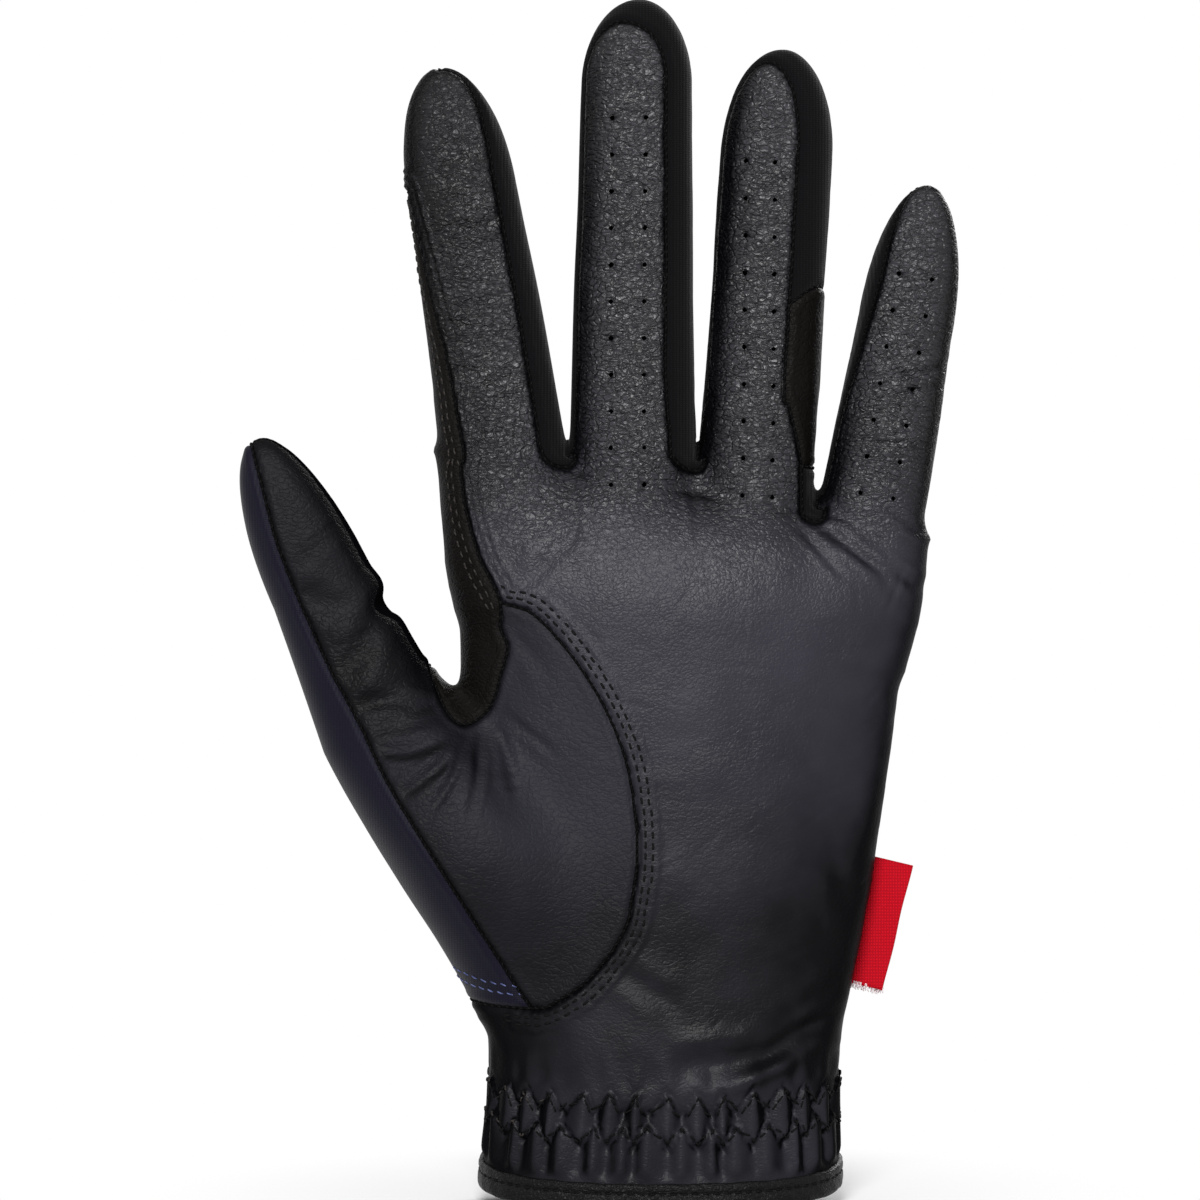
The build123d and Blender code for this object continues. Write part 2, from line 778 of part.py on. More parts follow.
# ---- export ---------------------------------------------------------------------------------------------
pieces = {
    "palm_leather": palm_panel,
    "thumb_inset_leather": thumb_inset_leather.part,
    "thumb_inset_back": thumb_inset_back.part,
    "thumb_gusset": thumb_gusset.part,
    "web_index_middle": webs[0],
    "web_middle_ring": webs[1],
    "web_ring_little": webs[2],
    "back_panel": back_panel.part,
    "slit_binding": slit_binding.part,
    "hem_binding": hem_binding.part,
    "cuff_elastic_lower": elastics[0],
    "cuff_elastic_upper": elastics[1],
    "loop_patch": loop_patch.part,
    "hook_patch": hook_patch.part,
    "closure_tab": closure_tab.part,
    "tab_root": tab_root.part,
    "label_tab": label_tab.part,
    "index_leather": index_leather.part,
    "index_sidewall": index_sidewall.part,
    "index_outer_strip": index_outer_strip.part,
    "index_back": index_back.part,
    "middle_leather": middle_leather.part,
    "middle_sidewall": middle_sidewall.part,
    "middle_back": middle_back.part,
    "ring_leather": ring_leather.part,
    "ring_sidewall": ring_sidewall.part,
    "ring_side_patch": ring_side_patch.part,
    "ring_back": ring_back.part,
    "little_leather": little_leather.part,
    "little_sidewall": little_sidewall.part,
    "little_back": little_back.part,
    "thumb_leather": thumb_leather.part,
    "thumb_back": thumb_back.part,
}
for name, piece in pieces.items():
    piece.label = name
    export_step(piece, "parts/" + name + ".step")
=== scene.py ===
import bpy
import json
import math
import numpy as np
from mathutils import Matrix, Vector
from mathutils.bvhtree import BVHTree
from mathutils.kdtree import KDTree


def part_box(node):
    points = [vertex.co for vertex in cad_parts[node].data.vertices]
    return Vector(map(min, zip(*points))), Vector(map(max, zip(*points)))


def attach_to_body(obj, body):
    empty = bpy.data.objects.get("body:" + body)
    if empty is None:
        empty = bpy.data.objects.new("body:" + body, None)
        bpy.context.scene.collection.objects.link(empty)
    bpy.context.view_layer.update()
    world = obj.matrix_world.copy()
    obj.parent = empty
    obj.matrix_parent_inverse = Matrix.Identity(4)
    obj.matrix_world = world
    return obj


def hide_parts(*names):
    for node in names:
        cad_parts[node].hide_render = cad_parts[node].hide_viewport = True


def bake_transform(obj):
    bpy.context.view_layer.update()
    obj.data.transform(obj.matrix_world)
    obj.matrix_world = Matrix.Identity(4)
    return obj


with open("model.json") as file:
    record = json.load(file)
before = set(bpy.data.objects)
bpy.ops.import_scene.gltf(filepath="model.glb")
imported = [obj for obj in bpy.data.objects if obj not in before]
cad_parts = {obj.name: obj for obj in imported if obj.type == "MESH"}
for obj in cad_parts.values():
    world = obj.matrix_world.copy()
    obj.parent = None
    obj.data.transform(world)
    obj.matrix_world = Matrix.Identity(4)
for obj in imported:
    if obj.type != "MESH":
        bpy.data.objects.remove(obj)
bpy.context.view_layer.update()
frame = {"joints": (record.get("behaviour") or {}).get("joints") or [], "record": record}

# ---------------------------------------------------------------------------------------
# The shape of the worn glove
# A glove is cut flat and takes the hand's shape once it is on. The palm, the ball of the
# thumb and the five digits run into each other in one smooth skin, so they are one form
# here, in millimetres, and every panel below is cut out of that skin along its seams.
# ---------------------------------------------------------------------------------------
hinges = {j["child"]: j for j in frame["joints"]}
# corners of the palm's and the digits' cross sections: 2 is an ellipse, higher is squarer
roundness = 2.35
# how far a digit curls back from its root to its tip
curl = 5.0
# the palm leans towards the little finger by this much, and turns under the fingers
palm_shift = 3.4
palm_turn = math.radians(10.0)
# half the wrist's width and depth at the hem
wrist_x, wrist_y = 32.0, 19.2


def digit(body, length, width, depth, shoulder, tip, twist, front, cap, bend):
    """A finger or thumb on the hinge that the frame gives its body, in mm: its length, its width and depth
    at the root, its width where the tip starts to round, and how long that tip is. Then how far its seams
    are turned round it, in degrees, how far forward the front seam lies, as a share of half the depth,
    how far that seam swings back over the tip, and how far the digit bends sideways."""
    axis = np.array(hinges[body]["axis"])
    place = np.array(hinges[body]["pos_m"]) * 1000
    return {"body": body, "name": body.split("_")[0], "root": np.array([place[0], 0.0, place[2]]),
            "across": np.array([axis[0], 0.0, axis[2]]), "along": np.array([-axis[2], 0.0, axis[0]]),
            "length": length, "width": width, "depth": depth, "shoulder": shoulder, "tip": tip,
            "twist": math.radians(twist), "front": front, "cap": cap, "bend": bend,
            "straight": length - tip}


index = digit("index_finger", 70.4, 22.6, 18.2, 19.8, 21.6, 0.0, 0.84, 5.5, -1.9)
middle = digit("middle_finger", 81.8, 22.6, 18.6, 19.6, 15.0, -14.0, 0.70, -0.4, 0.9)
ring = digit("ring_finger", 74.2, 20.7, 17.6, 19.6, 19.0, -22.0, 0.72, 2.0, -0.4)
little = digit("little_finger", 60.2, 19.2, 15.8, 17.0, 24.5, 13.0, 0.5, None, -0.7)
thumb = digit("thumb", 55.9, 23.8, 21.0, 18.8, 29.0, 42.0, 0.0, None, 0.0)
# the thumb leans out sideways, and its root lies in front of the middle of the palm
lean = math.radians(24.1)
thumb["across"] = np.array([math.cos(lean), 0.0, math.sin(lean)])
thumb["along"] = np.array([-math.sin(lean), 0.0, math.cos(lean)])
thumb["root"] = np.array([-49.5, -3.0, 82.4])
fingers = (index, middle, ring, little)
digits = (*fingers, thumb)

# the palm's widths and depths at heights above the hem
heights = np.array([-24.0, 0.0, 24.0, 52.0, 76.0, 100.0])
widths = np.array([64.0, 64.0, 63.0, 71.5, 76.25, 81.0])
depths = np.array([39.0, 39.0, 36.0, 33.5, 31.25, 29.0])
fine = np.linspace(-24.0, 100.0, 249)


def smooth_line(values):
    """The values at the heights, joined by a smooth line."""
    slope = np.gradient(values, heights)
    out = []
    for z in fine:
        i = min(max(int(np.searchsorted(heights, z)) - 1, 0), len(heights) - 2)
        span = heights[i + 1] - heights[i]
        k = (z - heights[i]) / span
        out.append(values[i] * (2 * k ** 3 - 3 * k ** 2 + 1) + slope[i] * span * (k ** 3 - 2 * k ** 2 + k)
                   + values[i + 1] * (3 * k ** 2 - 2 * k ** 3) + slope[i + 1] * span * (k ** 3 - k ** 2))
    return np.array(out)


fine_widths, fine_depths = smooth_line(widths), smooth_line(depths)


def ease(x, low, high):
    """Nought below low, one above high and a smooth rise between them."""
    k = np.clip((x - low) / (high - low), 0.0, 1.0)
    return k * k * (3 - 2 * k)


def across_digit(d, p):
    """Across, depth from the curled middle line, and distance along a digit, for points in mm."""
    q = p - d["root"]
    s = q @ d["along"]
    k = (np.maximum(s, 0.0) / d["length"]) ** 2
    return q @ d["across"] - d["bend"] * k, q[:, 1] + curl * k, s


def rounded(x, y, half_x, half_y):
    """Distance from the middle of a rounded cross section, one on its edge."""
    return ((np.abs(x) / half_x) ** roundness + (np.abs(y) / half_y) ** roundness) ** (1 / roundness)


def half_width(d, s):
    """Half the width of a digit at a distance along it."""
    k = np.clip(s / d["straight"], 0.0, 1.0)
    return (d["width"] + (d["shoulder"] - d["width"]) * k) / 2


def digit_field(d, p):
    """Below nought inside the digit, about in mm."""
    u, v, s = across_digit(d, p)
    wide = half_width(d, s)
    deep = wide * d["depth"] / d["width"]
    if d is thumb:
        k = np.clip(-s / 55.0, 0.0, 1.0)
        left = -wide * (1 - 0.66 * k ** 1.4)
        right = wide + 10.0 * np.sin(0.75 * np.pi * k)
        bulge = 10.5 + 6.0 * np.sin(np.pi * k / 0.9)
        deep_front = np.where(s < 0, bulge, deep)
        a = rounded(u - (left + right) / 2, v, (right - left) / 2, np.where(v < 0, deep_front, deep))
        foot = 55.0
    else:
        share = np.interp(-s, [-1.0, 0.0, 8.7, 17.3, 26.0], [1.0, 1.0, 1.0, 0.95, 0.80])
        a = rounded(u, v, wide * share, deep)
        foot = 26.0
    t = np.maximum(s - d["straight"], 0.0) / d["tip"]
    return (np.sqrt(a * a + t * t) - 1) * deep + np.maximum(-s - foot, 0.0) * 0.7


def palm_height(p):
    """Height of a point on the palm's own leaning levels, and its place across them."""
    x, z = p[:, 0], p[:, 2]
    s = z.copy()
    for _ in range(4):
        s = z + (x - palm_shift * np.clip(s, 0, 100) / 100) * np.tan(palm_turn * ease(s, 52.0, 100.0))
    turn = palm_turn * ease(s, 52.0, 100.0)
    shift = palm_shift * np.clip(s, 0, 100) / 100
    over = (x - palm_shift) * math.sin(palm_turn) + (z - 100) * math.cos(palm_turn)
    high = s > 100.0
    low_x = (x - shift) / np.cos(turn)
    high_x = (x - palm_shift) * math.cos(palm_turn) - (z - 100) * math.sin(palm_turn)
    return np.where(high, 100 + over, s), np.where(high, high_x, low_x)


def palm_field(p):
    """Below nought inside the palm, about in mm."""
    s, x = palm_height(p)
    wide = np.interp(s, fine, fine_widths) / 2
    deep = np.interp(s, fine, fine_depths) / 2
    k = np.clip((s - 100.0) / 24.0, 0.0, 1.0)
    deep = deep * (1 - 0.36 * k ** 1.8) * np.sqrt(1 - 0.8 * k ** 6)
    wide = wide * (1 - 0.2 * k ** 3)
    return (rounded(x, p[:, 1], wide, deep) - 1) * deep + np.maximum(s - 123.5, 0.0)


def blended(a, b, reach):
    """The two shapes as one, with a soft fillet of about that reach where they meet."""
    h = np.maximum(reach - np.abs(a - b), 0.0) / reach
    return np.minimum(a, b) - h * h * reach / 4


def notch(a, b, drop):
    """The place x, z of the lowest point between two fingers."""
    left = a["root"] + a["across"] * a["width"] / 2
    right = b["root"] - b["across"] * b["width"] / 2
    return (left[0] + right[0]) / 2, min(left[2], right[2]) - drop


notches = [notch(index, middle, 1.4), notch(middle, ring, 0.9), notch(ring, little, 3.4)]


def hand_field(p):
    """Below nought inside the whole hand, about in mm."""
    f = palm_field(p)
    f = blended(f, digit_field(thumb, p), 5.0)
    tubes = digit_field(fingers[0], p)
    for d in fingers[1:]:
        tubes = blended(tubes, digit_field(d, p), 1.5)
    for (x, z), d in zip(notches, fingers):
        drop = z - p[:, 2]
        deep = d["depth"] / 2 * np.interp(drop, [0, 6.5, 13], [0.42, 0.78, 0.92])
        saddle = (rounded(p[:, 0] - x, p[:, 1], 11.0, deep) - 1) * deep
        saddle = saddle + np.maximum(-drop, 0.0) * 1.5 + np.maximum(drop - 16.0, 0.0) * 0.8
        tubes = blended(tubes, saddle, 2.5)
    return blended(f, tubes, 6.0)


def skin_of(low, high, step):
    """Even net of quads over the hand: one point in each cell of a grid that the skin passes through."""
    counts = [int(math.ceil((b - a) / step)) + 1 for a, b in zip(low, high)]
    axes = [low[i] + step * np.arange(counts[i]) for i in range(3)]
    grid = np.empty(counts, np.float32)
    y, z = np.meshgrid(axes[1], axes[2], indexing="ij")
    for i, x in enumerate(axes[0]):
        layer = np.stack([np.full(y.size, x), y.ravel(), z.ravel()], 1)
        grid[i] = hand_field(layer).reshape(y.shape)
    inside = grid < 0
    total = np.zeros([c - 1 for c in counts] + [3])
    hits = np.zeros([c - 1 for c in counts])
    crossings = []
    for axis in range(3):
        near = [slice(None)] * 3
        far = [slice(None)] * 3
        near[axis], far[axis] = slice(0, -1), slice(1, None)
        a, b = grid[tuple(near)], grid[tuple(far)]
        change = (a < 0) != (b < 0)
        where = np.argwhere(change)
        share = a[change] / (a[change] - b[change])
        place = where.astype(float)
        place[:, axis] += share
        crossings.append((where, inside[tuple(near)][change]))
        others = [k for k in range(3) if k != axis]
        for i in (0, 1):
            for j in (0, 1):
                cell = where.copy()
                cell[:, others[0]] -= i
                cell[:, others[1]] -= j
                ok = np.all((cell >= 0) & (cell < np.array(hits.shape)), 1)
                c = tuple(cell[ok].T)
                np.add.at(total, c, place[ok])
                np.add.at(hits, c, 1)
    used = np.argwhere(hits > 0)
    name = -np.ones(hits.shape, np.int64)
    name[tuple(used.T)] = np.arange(len(used))
    points = total[tuple(used.T)] / hits[tuple(used.T)][:, None] * step + np.array(low)
    quads = []
    for axis, (where, solid_near) in enumerate(crossings):
        o1, o2 = (axis + 1) % 3, (axis + 2) % 3
        corners = []
        for i, j in ((0, 0), (1, 0), (1, 1), (0, 1)):
            cell = where.copy()
            cell[:, o1] -= i
            cell[:, o2] -= j
            corners.append(cell)
        ok = np.all([np.all((c >= 0) & (c < np.array(hits.shape)), 1) for c in corners], 0)
        face = np.stack([name[tuple(c[ok].T)] for c in corners], 1)
        flip = ~solid_near[ok]
        face[flip] = face[flip][:, ::-1]
        quads.append(face)
    return points, np.concatenate(quads)


def slope_of(field, p, h=0.05):
    """Which way a field rises at each point, and how steeply."""
    out = np.empty_like(p)
    for i in range(3):
        step = np.zeros(3)
        step[i] = h
        out[:, i] = (field(p + step) - field(p - step)) / (2 * h)
    return out


def settle(p, rounds):
    """Moves points onto the skin."""
    for _ in range(rounds):
        g = slope_of(hand_field, p)
        p = p - hand_field(p)[:, None] * g / np.maximum((g * g).sum(1), 0.05)[:, None]
    return p


def averaged(p, edges):
    """The mean of each point's neighbours."""
    total = np.zeros_like(p)
    count = np.bincount(edges.ravel(), minlength=len(p))[:, None]
    for i in range(3):
        total[:, i] = (np.bincount(edges[:, 0], p[edges[:, 1], i], len(p))
                       + np.bincount(edges[:, 1], p[edges[:, 0], i], len(p)))
    return total / np.maximum(count, 1)


# the grid's step in mm
mesh_step = 0.66
skin, quads = skin_of((-76.5, -24.0, -6.0), (55.5, 25.0, 214.5), mesh_step)
edges = np.concatenate([quads[:, [i, (i + 1) % 4]] for i in range(4)])
for _ in range(3):
    skin = settle(0.5 * skin + 0.5 * averaged(skin, edges), 1)
skin = settle(skin, 2)
shorter = (((skin[quads[:, 0]] - skin[quads[:, 2]]) ** 2).sum(1)
           < ((skin[quads[:, 1]] - skin[quads[:, 3]]) ** 2).sum(1))[:, None]
faces = np.concatenate([np.where(shorter, quads[:, [0, 1, 2]], quads[:, [0, 1, 3]]),
                        np.where(shorter, quads[:, [0, 2, 3]], quads[:, [1, 2, 3]])])


# ---------------------------------------------------------------------------------------
# Cutting the skin into its panels
# A cutter follows the seam lines and makes clean edges. Each line is a value over the
# skin that is nought on the seam, and the skin is divided along that nought line.
# ---------------------------------------------------------------------------------------


def seam_field(points):
    """Distance in mm from a drawn line of (x, z) points, above nought to its right, as a function."""
    pts = np.array(points, float)
    line = []
    for i in range(len(pts) - 1):
        a, b, c, d = pts[max(i - 1, 0)], pts[i], pts[i + 1], pts[min(i + 2, len(pts) - 1)]
        for t in np.arange(0, 1, 0.1):
            line.append(0.5 * (2 * b + (c - a) * t + (2 * a - 5 * b + 4 * c - d) * t ** 2
                               + (3 * b - a - 3 * c + d) * t ** 3))
    line.append(pts[-1])
    line = np.array(line)

    def field(p):
        best = np.full(len(p), 1e9)
        side = np.zeros(len(p))
        x, z = p[:, 0], p[:, 2]
        for (ax, az), (bx, bz) in zip(line[:-1], line[1:]):
            dx, dz = bx - ax, bz - az
            size = dx * dx + dz * dz
            if size < 1e-9:
                continue
            t = np.clip(((x - ax) * dx + (z - az) * dz) / size, 0, 1)
            ex, ez = x - ax - t * dx, z - az - t * dz
            dist = np.hypot(ex, ez)
            nearer = dist < best - 1e-9
            best = np.where(nearer, dist, best)
            side = np.where(nearer, np.sign(dz * ex - dx * ez), side)
        return best * side
    return field


def cut(points, faces, value, within):
    """Divides the triangles along the line where value is nought, inside the given part of the skin."""
    small = mesh_step * 0.12
    value = np.where((np.abs(value) < small) & within, 0.0, value)
    pairs = np.concatenate([faces[:, [0, 1]], faces[:, [1, 2]], faces[:, [2, 0]]])
    low, high = pairs.min(1), pairs.max(1)
    keys, back = np.unique(low * len(points) + high, return_inverse=True)
    a, b = keys // len(points), keys % len(points)
    crossed = (value[a] * value[b] < 0) & within[a] & within[b]
    new = -np.ones(len(keys), np.int64)
    new[crossed] = len(points) + np.arange(crossed.sum())
    a, b = a[crossed], b[crossed]
    t = (value[a] / (value[a] - value[b]))[:, None]
    points = np.concatenate([points, points[a] * (1 - t) + points[b] * t])
    mids = new[back].reshape(3, -1).T
    count = (mids >= 0).sum(1)
    out = [faces[count == 0]]
    for turn in range(3):
        f = np.roll(faces, -turn, 1)
        m = np.roll(mids, -turn, 1)
        one = (count == 1) & (m[:, 0] >= 0)
        out.append(np.stack([f[one, 0], m[one, 0], f[one, 2]], 1))
        out.append(np.stack([m[one, 0], f[one, 1], f[one, 2]], 1))
        two = (count == 2) & (m[:, 0] >= 0) & (m[:, 2] >= 0)
        out.append(np.stack([f[two, 0], m[two, 0], m[two, 2]], 1))
        out.append(np.stack([m[two, 0], f[two, 1], m[two, 2]], 1))
        out.append(np.stack([f[two, 1], f[two, 2], m[two, 2]], 1))
    return points, np.concatenate(out)


# the back starts this far behind the middle of the hand; the hem leans, higher at the back
back_line = 4.5
hem_tilt = math.radians(8.0)
# how far the leather strip reaches up the index finger's outer wall
strip_top = 49.5
egg_line = seam_field([(-70, 128), (-60, 120), (-44, 112), (-34, 106.5), (-28.0, 104.2), (-22.9, 102.5),
                       (-17.9, 97.5), (-12.8, 90.7), (-8.8, 83.4), (-6.0, 75.5), (-4.6, 67.0), (-4.2, 60.0),
                       (-5.1, 52.5), (-6.9, 45.7), (-13.1, 37.7), (-18.8, 33.6), (-22.1, 32.4), (-31.0, 32.8),
                       (-40, 34.5), (-60, 41)])
navy_line = seam_field([(-80, 150), (-75.5, 139), (-72.3, 130.2), (-68.7, 116.5), (-64.7, 105.3),
                        (-59.1, 92.9), (-53.6, 82.8), (-47.9, 71.5), (-42.3, 62.5), (-36.1, 53.0),
                        (-26.1, 36.7), (-21.0, 30.0)])
heel_line = seam_field([(-10, 32.0), (-22.1, 32.4), (-31.0, 32.8), (-40, 34.5), (-60, 41), (-75, 47)])
gusset_line = seam_field([(-38.4, 150.0), (-37.4, 140.0), (-35.9, 130.0), (-34.8, 121.0), (-32.4, 112.5),
                          (-29.6, 107.0), (-28.6, 103.7), (-28.7, 99.8), (-27.4, 96.6), (-28.6, 91.5),
                          (-30.6, 85.6), (-34.6, 82.8), (-37.6, 84.6), (-39.6, 88.5), (-41.5, 94.0),
                          (-42.0, 102.0), (-42.0, 118.0)])


def hem_height(p):
    """Height above the leaning edge of the wrist."""
    return p[:, 2] * math.cos(hem_tilt) - p[:, 1] * math.sin(hem_tilt)


def along(d, p):
    """Distance along a digit from its root."""
    return (p - d["root"]) @ d["along"]


def depth_turned(d, p):
    """Depth of a point behind a digit's middle, turned round it as far as its seams are."""
    return -math.sin(d["twist"]) * across_digit(d, p)[0] + math.cos(d["twist"]) * p[:, 1]


def out_turned(d, p):
    """How far a point lies towards the little finger's side of a digit, turned in the same way."""
    return math.cos(d["twist"]) * across_digit(d, p)[0] + math.sin(d["twist"]) * p[:, 1]


def half_depth(d, s):
    """Half the depth of a digit at a distance along it."""
    return half_width(d, s) * d["depth"] / d["width"]


def seam_depth(d, s, share, low_share):
    """Depth of a seam that runs up a digit at a share of half its depth, and at another one at the root."""
    k = low_share + (share - low_share) * ease(s, -8.0, 0.3 * d["straight"])
    k = np.where(s < 0.2 * d["straight"], k, share)
    return -curl * (np.maximum(s, 0) / d["length"]) ** 2 * math.cos(d["twist"]) + k * half_depth(d, s)


def front_seam(d, p):
    """Above nought behind the seam between a finger's leather and its side wall."""
    s = along(d, p)
    line = seam_depth(d, s, -d["front"], {"ring": -0.18, "middle": -0.64}.get(d["name"], -d["front"]))
    middle_line = -curl * (np.maximum(s, 0) / d["length"]) ** 2
    if d is index:
        share = np.interp(s, [0.0, 20.0, 38.0, strip_top], [0.86, 0.77, 0.52, 0.30])
        line = np.where(out_turned(d, p) < 0, middle_line - share * half_depth(d, s), line)
    if d is little:
        share = np.interp(s, [0.0, 16.0, 30.0, 42.0, 60.0], [0.0, 0.12, 0.36, 0.55, 0.62])
        line = middle_line - share * half_depth(d, s)
    t = np.clip((s - d["straight"]) / d["tip"], 0.0, 1.2)
    if d["cap"] is not None:
        line = line + d["cap"] * t ** 2
    else:
        line = line + (d["front"] * d["depth"] / 2 + 1.0) * t ** 2.2
    return depth_turned(d, p) - line


def back_seam(d, p):
    """Above nought behind the seam of a digit's back panel."""
    s = along(d, p)
    if d is thumb:
        u, v, s = across_digit(d, p)
        k = ease(s, 0.0, 22.0)
        return v - (back_line + 3.0) * (1 - k) - 0.9 * u * k
    share = back_line / (d["depth"] / 2)
    t = np.clip((s - d["straight"]) / d["tip"], 0.0, 1.2)
    turned = depth_turned(d, p) - seam_depth(d, s, share, share) + (back_line * 0.9 - 1.5) * t ** 2
    k = ease(s, 0.0, 18.0)
    return turned * k + (p[:, 1] - back_line) * (1 - k)


def patch_top(p):
    """Above nought over the slanting upper edge of the leather patch on the ring finger's outer wall."""
    return along(ring, p) - 27.5 - 1.1 * (out_turned(ring, p) - 6.0)


def owner(p):
    """Which body each point belongs to, 0 the palm and then the digits in order, and its nearest digit."""
    fields = np.stack([digit_field(d, p) for d in digits])
    nearest = fields.argmin(0)
    own = np.zeros(len(p), int)
    for i, d in enumerate(digits):
        own = np.where((nearest == i) & (along(d, p) > 0), i + 1, own)
    return own, nearest


def split_here(value, within):
    """Cuts the skin along the line where value is nought."""
    global skin, faces
    skin, faces = cut(skin, faces, value, within)


def on_body(number):
    """The points on one body, by its number."""
    return owner(skin)[0] == number


# the skin ends this far above the hem's foot, inside the rolled binding
raw_edge = 0.7
split_here(hem_height(skin) - raw_edge, np.ones(len(skin), bool))
faces = faces[hem_height(skin[faces].mean(1)) > raw_edge]
for i, d in enumerate(digits):
    s = along(d, skin)
    split_here(s, (owner(skin)[1] == i) & (np.abs(s) < 5))
for a, b in zip(fingers, fingers[1:]):
    split_here(digit_field(a, skin) - digit_field(b, skin), (along(a, skin) > -0.5) & (along(b, skin) > -3))
split_here(skin[:, 1] - back_line, on_body(0))
split_here(navy_line(skin), (on_body(0) | (on_body(5) & (skin[:, 1] < 6.0))) & (skin[:, 2] > 30))
split_here(heel_line(skin), on_body(0) & (skin[:, 0] < -22))
split_here(egg_line(skin), on_body(0) & (skin[:, 1] < back_line + 0.5))
split_here(gusset_line(skin), (on_body(0) | (on_body(5) & (along(thumb, skin) < 16)))
           & (skin[:, 1] < back_line + 0.5))
for i, d in enumerate(digits):
    if d is not thumb:
        split_here(front_seam(d, skin), on_body(i + 1))
    split_here(back_seam(d, skin), on_body(i + 1) & ((across_digit(thumb, skin)[0] > -1) | (d is not thumb)))
split_here(out_turned(index, skin), on_body(1))
split_here(along(index, skin) - strip_top, on_body(1) & (out_turned(index, skin) < 0.5))
split_here(out_turned(little, skin), on_body(4))
split_here(patch_top(skin), on_body(3) & (out_turned(ring, skin) > 0))


def web_field(p, i):
    """Below nought inside the rounded lower end of the side walls, in a notch between two fingers."""
    x, z = notches[i]
    left, right, drop = web_reach[i]
    dx = p[:, 0] - x
    below = np.minimum(p[:, 2] - z - 2.6, 0.0)
    return np.hypot(dx / np.where(dx < 0, left, right), below / drop) * 3.0 - 3.0


def seam_reach(d, x, side):
    """How far the seam of a finger's side wall is from the middle of the notch beside it, at the root."""
    angle = np.radians(np.linspace(0, 88, 200))
    u = side * d["width"] / 2 * np.cos(angle) ** (2 / roundness)
    y = -d["depth"] / 2 * np.sin(angle) ** (2 / roundness)
    p = d["root"] + u[:, None] * d["across"] + 0.5 * d["along"]
    p[:, 1] = y
    ahead = np.nonzero(front_seam(d, p) < 0)[0]
    return abs(p[ahead[0], 0] - x)


# each web's reach to its left, to its right and down from its notch
web_reach = []
for (x, z), a, b, drop in zip(notches, fingers, fingers[1:], (3.0, 3.7, 1.8)):
    web_reach.append((max(seam_reach(a, x, 1), 1.3), max(seam_reach(b, x, -1), 1.3), drop))
for i, (x, z) in enumerate(notches):
    near = on_body(0) & (np.abs(skin[:, 0] - x) < 9) & (skin[:, 2] > z - 10)
    split_here(web_field(skin, i), near & (skin[:, 1] < back_line + 0.4))
# the wrist's slit at the back, and half the widths of its gap and of the tape round it
slit_x, slit_high = 4.5, 46.0
slit_half, binding_half = 1.5, 4.5


def slit_field(p, reach):
    """Below nought within that reach of the wrist's slit."""
    above = np.maximum(p[:, 2] - slit_high + slit_half, 0.0)
    return np.hypot(p[:, 0] - slit_x, above) - reach


split_here(slit_field(skin, binding_half), (skin[:, 1] > back_line) & (skin[:, 2] < 60))

names = ["palm_leather", "thumb_inset_leather", "thumb_inset_back", "thumb_gusset", "back_panel",
         "web_index_middle", "web_middle_ring", "web_ring_little", "slit_binding",
         "index_leather", "index_sidewall", "index_outer_strip", "index_back",
         "middle_leather", "middle_sidewall", "middle_back",
         "ring_leather", "ring_sidewall", "ring_side_patch", "ring_back",
         "little_leather", "little_sidewall", "little_back", "thumb_leather", "thumb_back", "thumb_crotch"]


def panel_of(p):
    """The number of the panel that each point lies on."""
    own = owner(p)[0]
    out = np.zeros(len(p), int)

    def put(name, where):
        out[where] = names.index(name)

    back = p[:, 1] > back_line
    navy = (navy_line(p) > 0) & (heel_line(p) > 0)
    put("back_panel", (own == 0) & back)
    put("thumb_inset_leather", (own == 0) & ~back & (egg_line(p) > 0) & (p[:, 0] < 0) & (p[:, 2] > 31))
    put("thumb_gusset", (own == 0) & ~back & (gusset_line(p) > 0) & (p[:, 0] < -20) & (p[:, 2] > 80))
    for i, name in enumerate(n for n in names if n.startswith("web")):
        put(name, (own == 0) & ~back & (web_field(p, i) < 0) & (np.abs(p[:, 0] - notches[i][0]) < 8))
    put("thumb_inset_back", (own == 0) & navy & (p[:, 2] > 31))
    put("slit_binding", back & (slit_field(p, binding_half) < 0) & (p[:, 2] < 60))
    for i, d in enumerate(fingers):
        mine = own == i + 1
        wall = front_seam(d, p) > 0
        put(d["name"] + "_leather", mine)
        outside = out_turned(d, p)
        if d is index:
            put("index_sidewall", mine & wall & (outside > 0))
            put("index_outer_strip", mine & wall & (outside < 0) & (along(d, p) < strip_top))
        elif d is middle:
            put("middle_sidewall", mine & wall)
        elif d is ring:
            put("ring_sidewall", mine & wall)
            put("ring_side_patch", mine & wall & (outside > 0) & (patch_top(p) < 0))
        else:
            put("little_sidewall", mine & wall & (outside < 0))
        put(d["name"] + "_back", mine & (back_seam(d, p) > 0))
    mine = own == 5
    put("thumb_leather", mine)
    behind = (back_seam(thumb, p) > 0) & (across_digit(thumb, p)[0] > 0)
    put("thumb_back", mine & (behind | (navy_line(p) > 0)))
    put("thumb_crotch", mine & (gusset_line(p) > 0) & (along(thumb, p) < 14) & (p[:, 1] < back_line)
        & (p[:, 0] > -47))
    return out


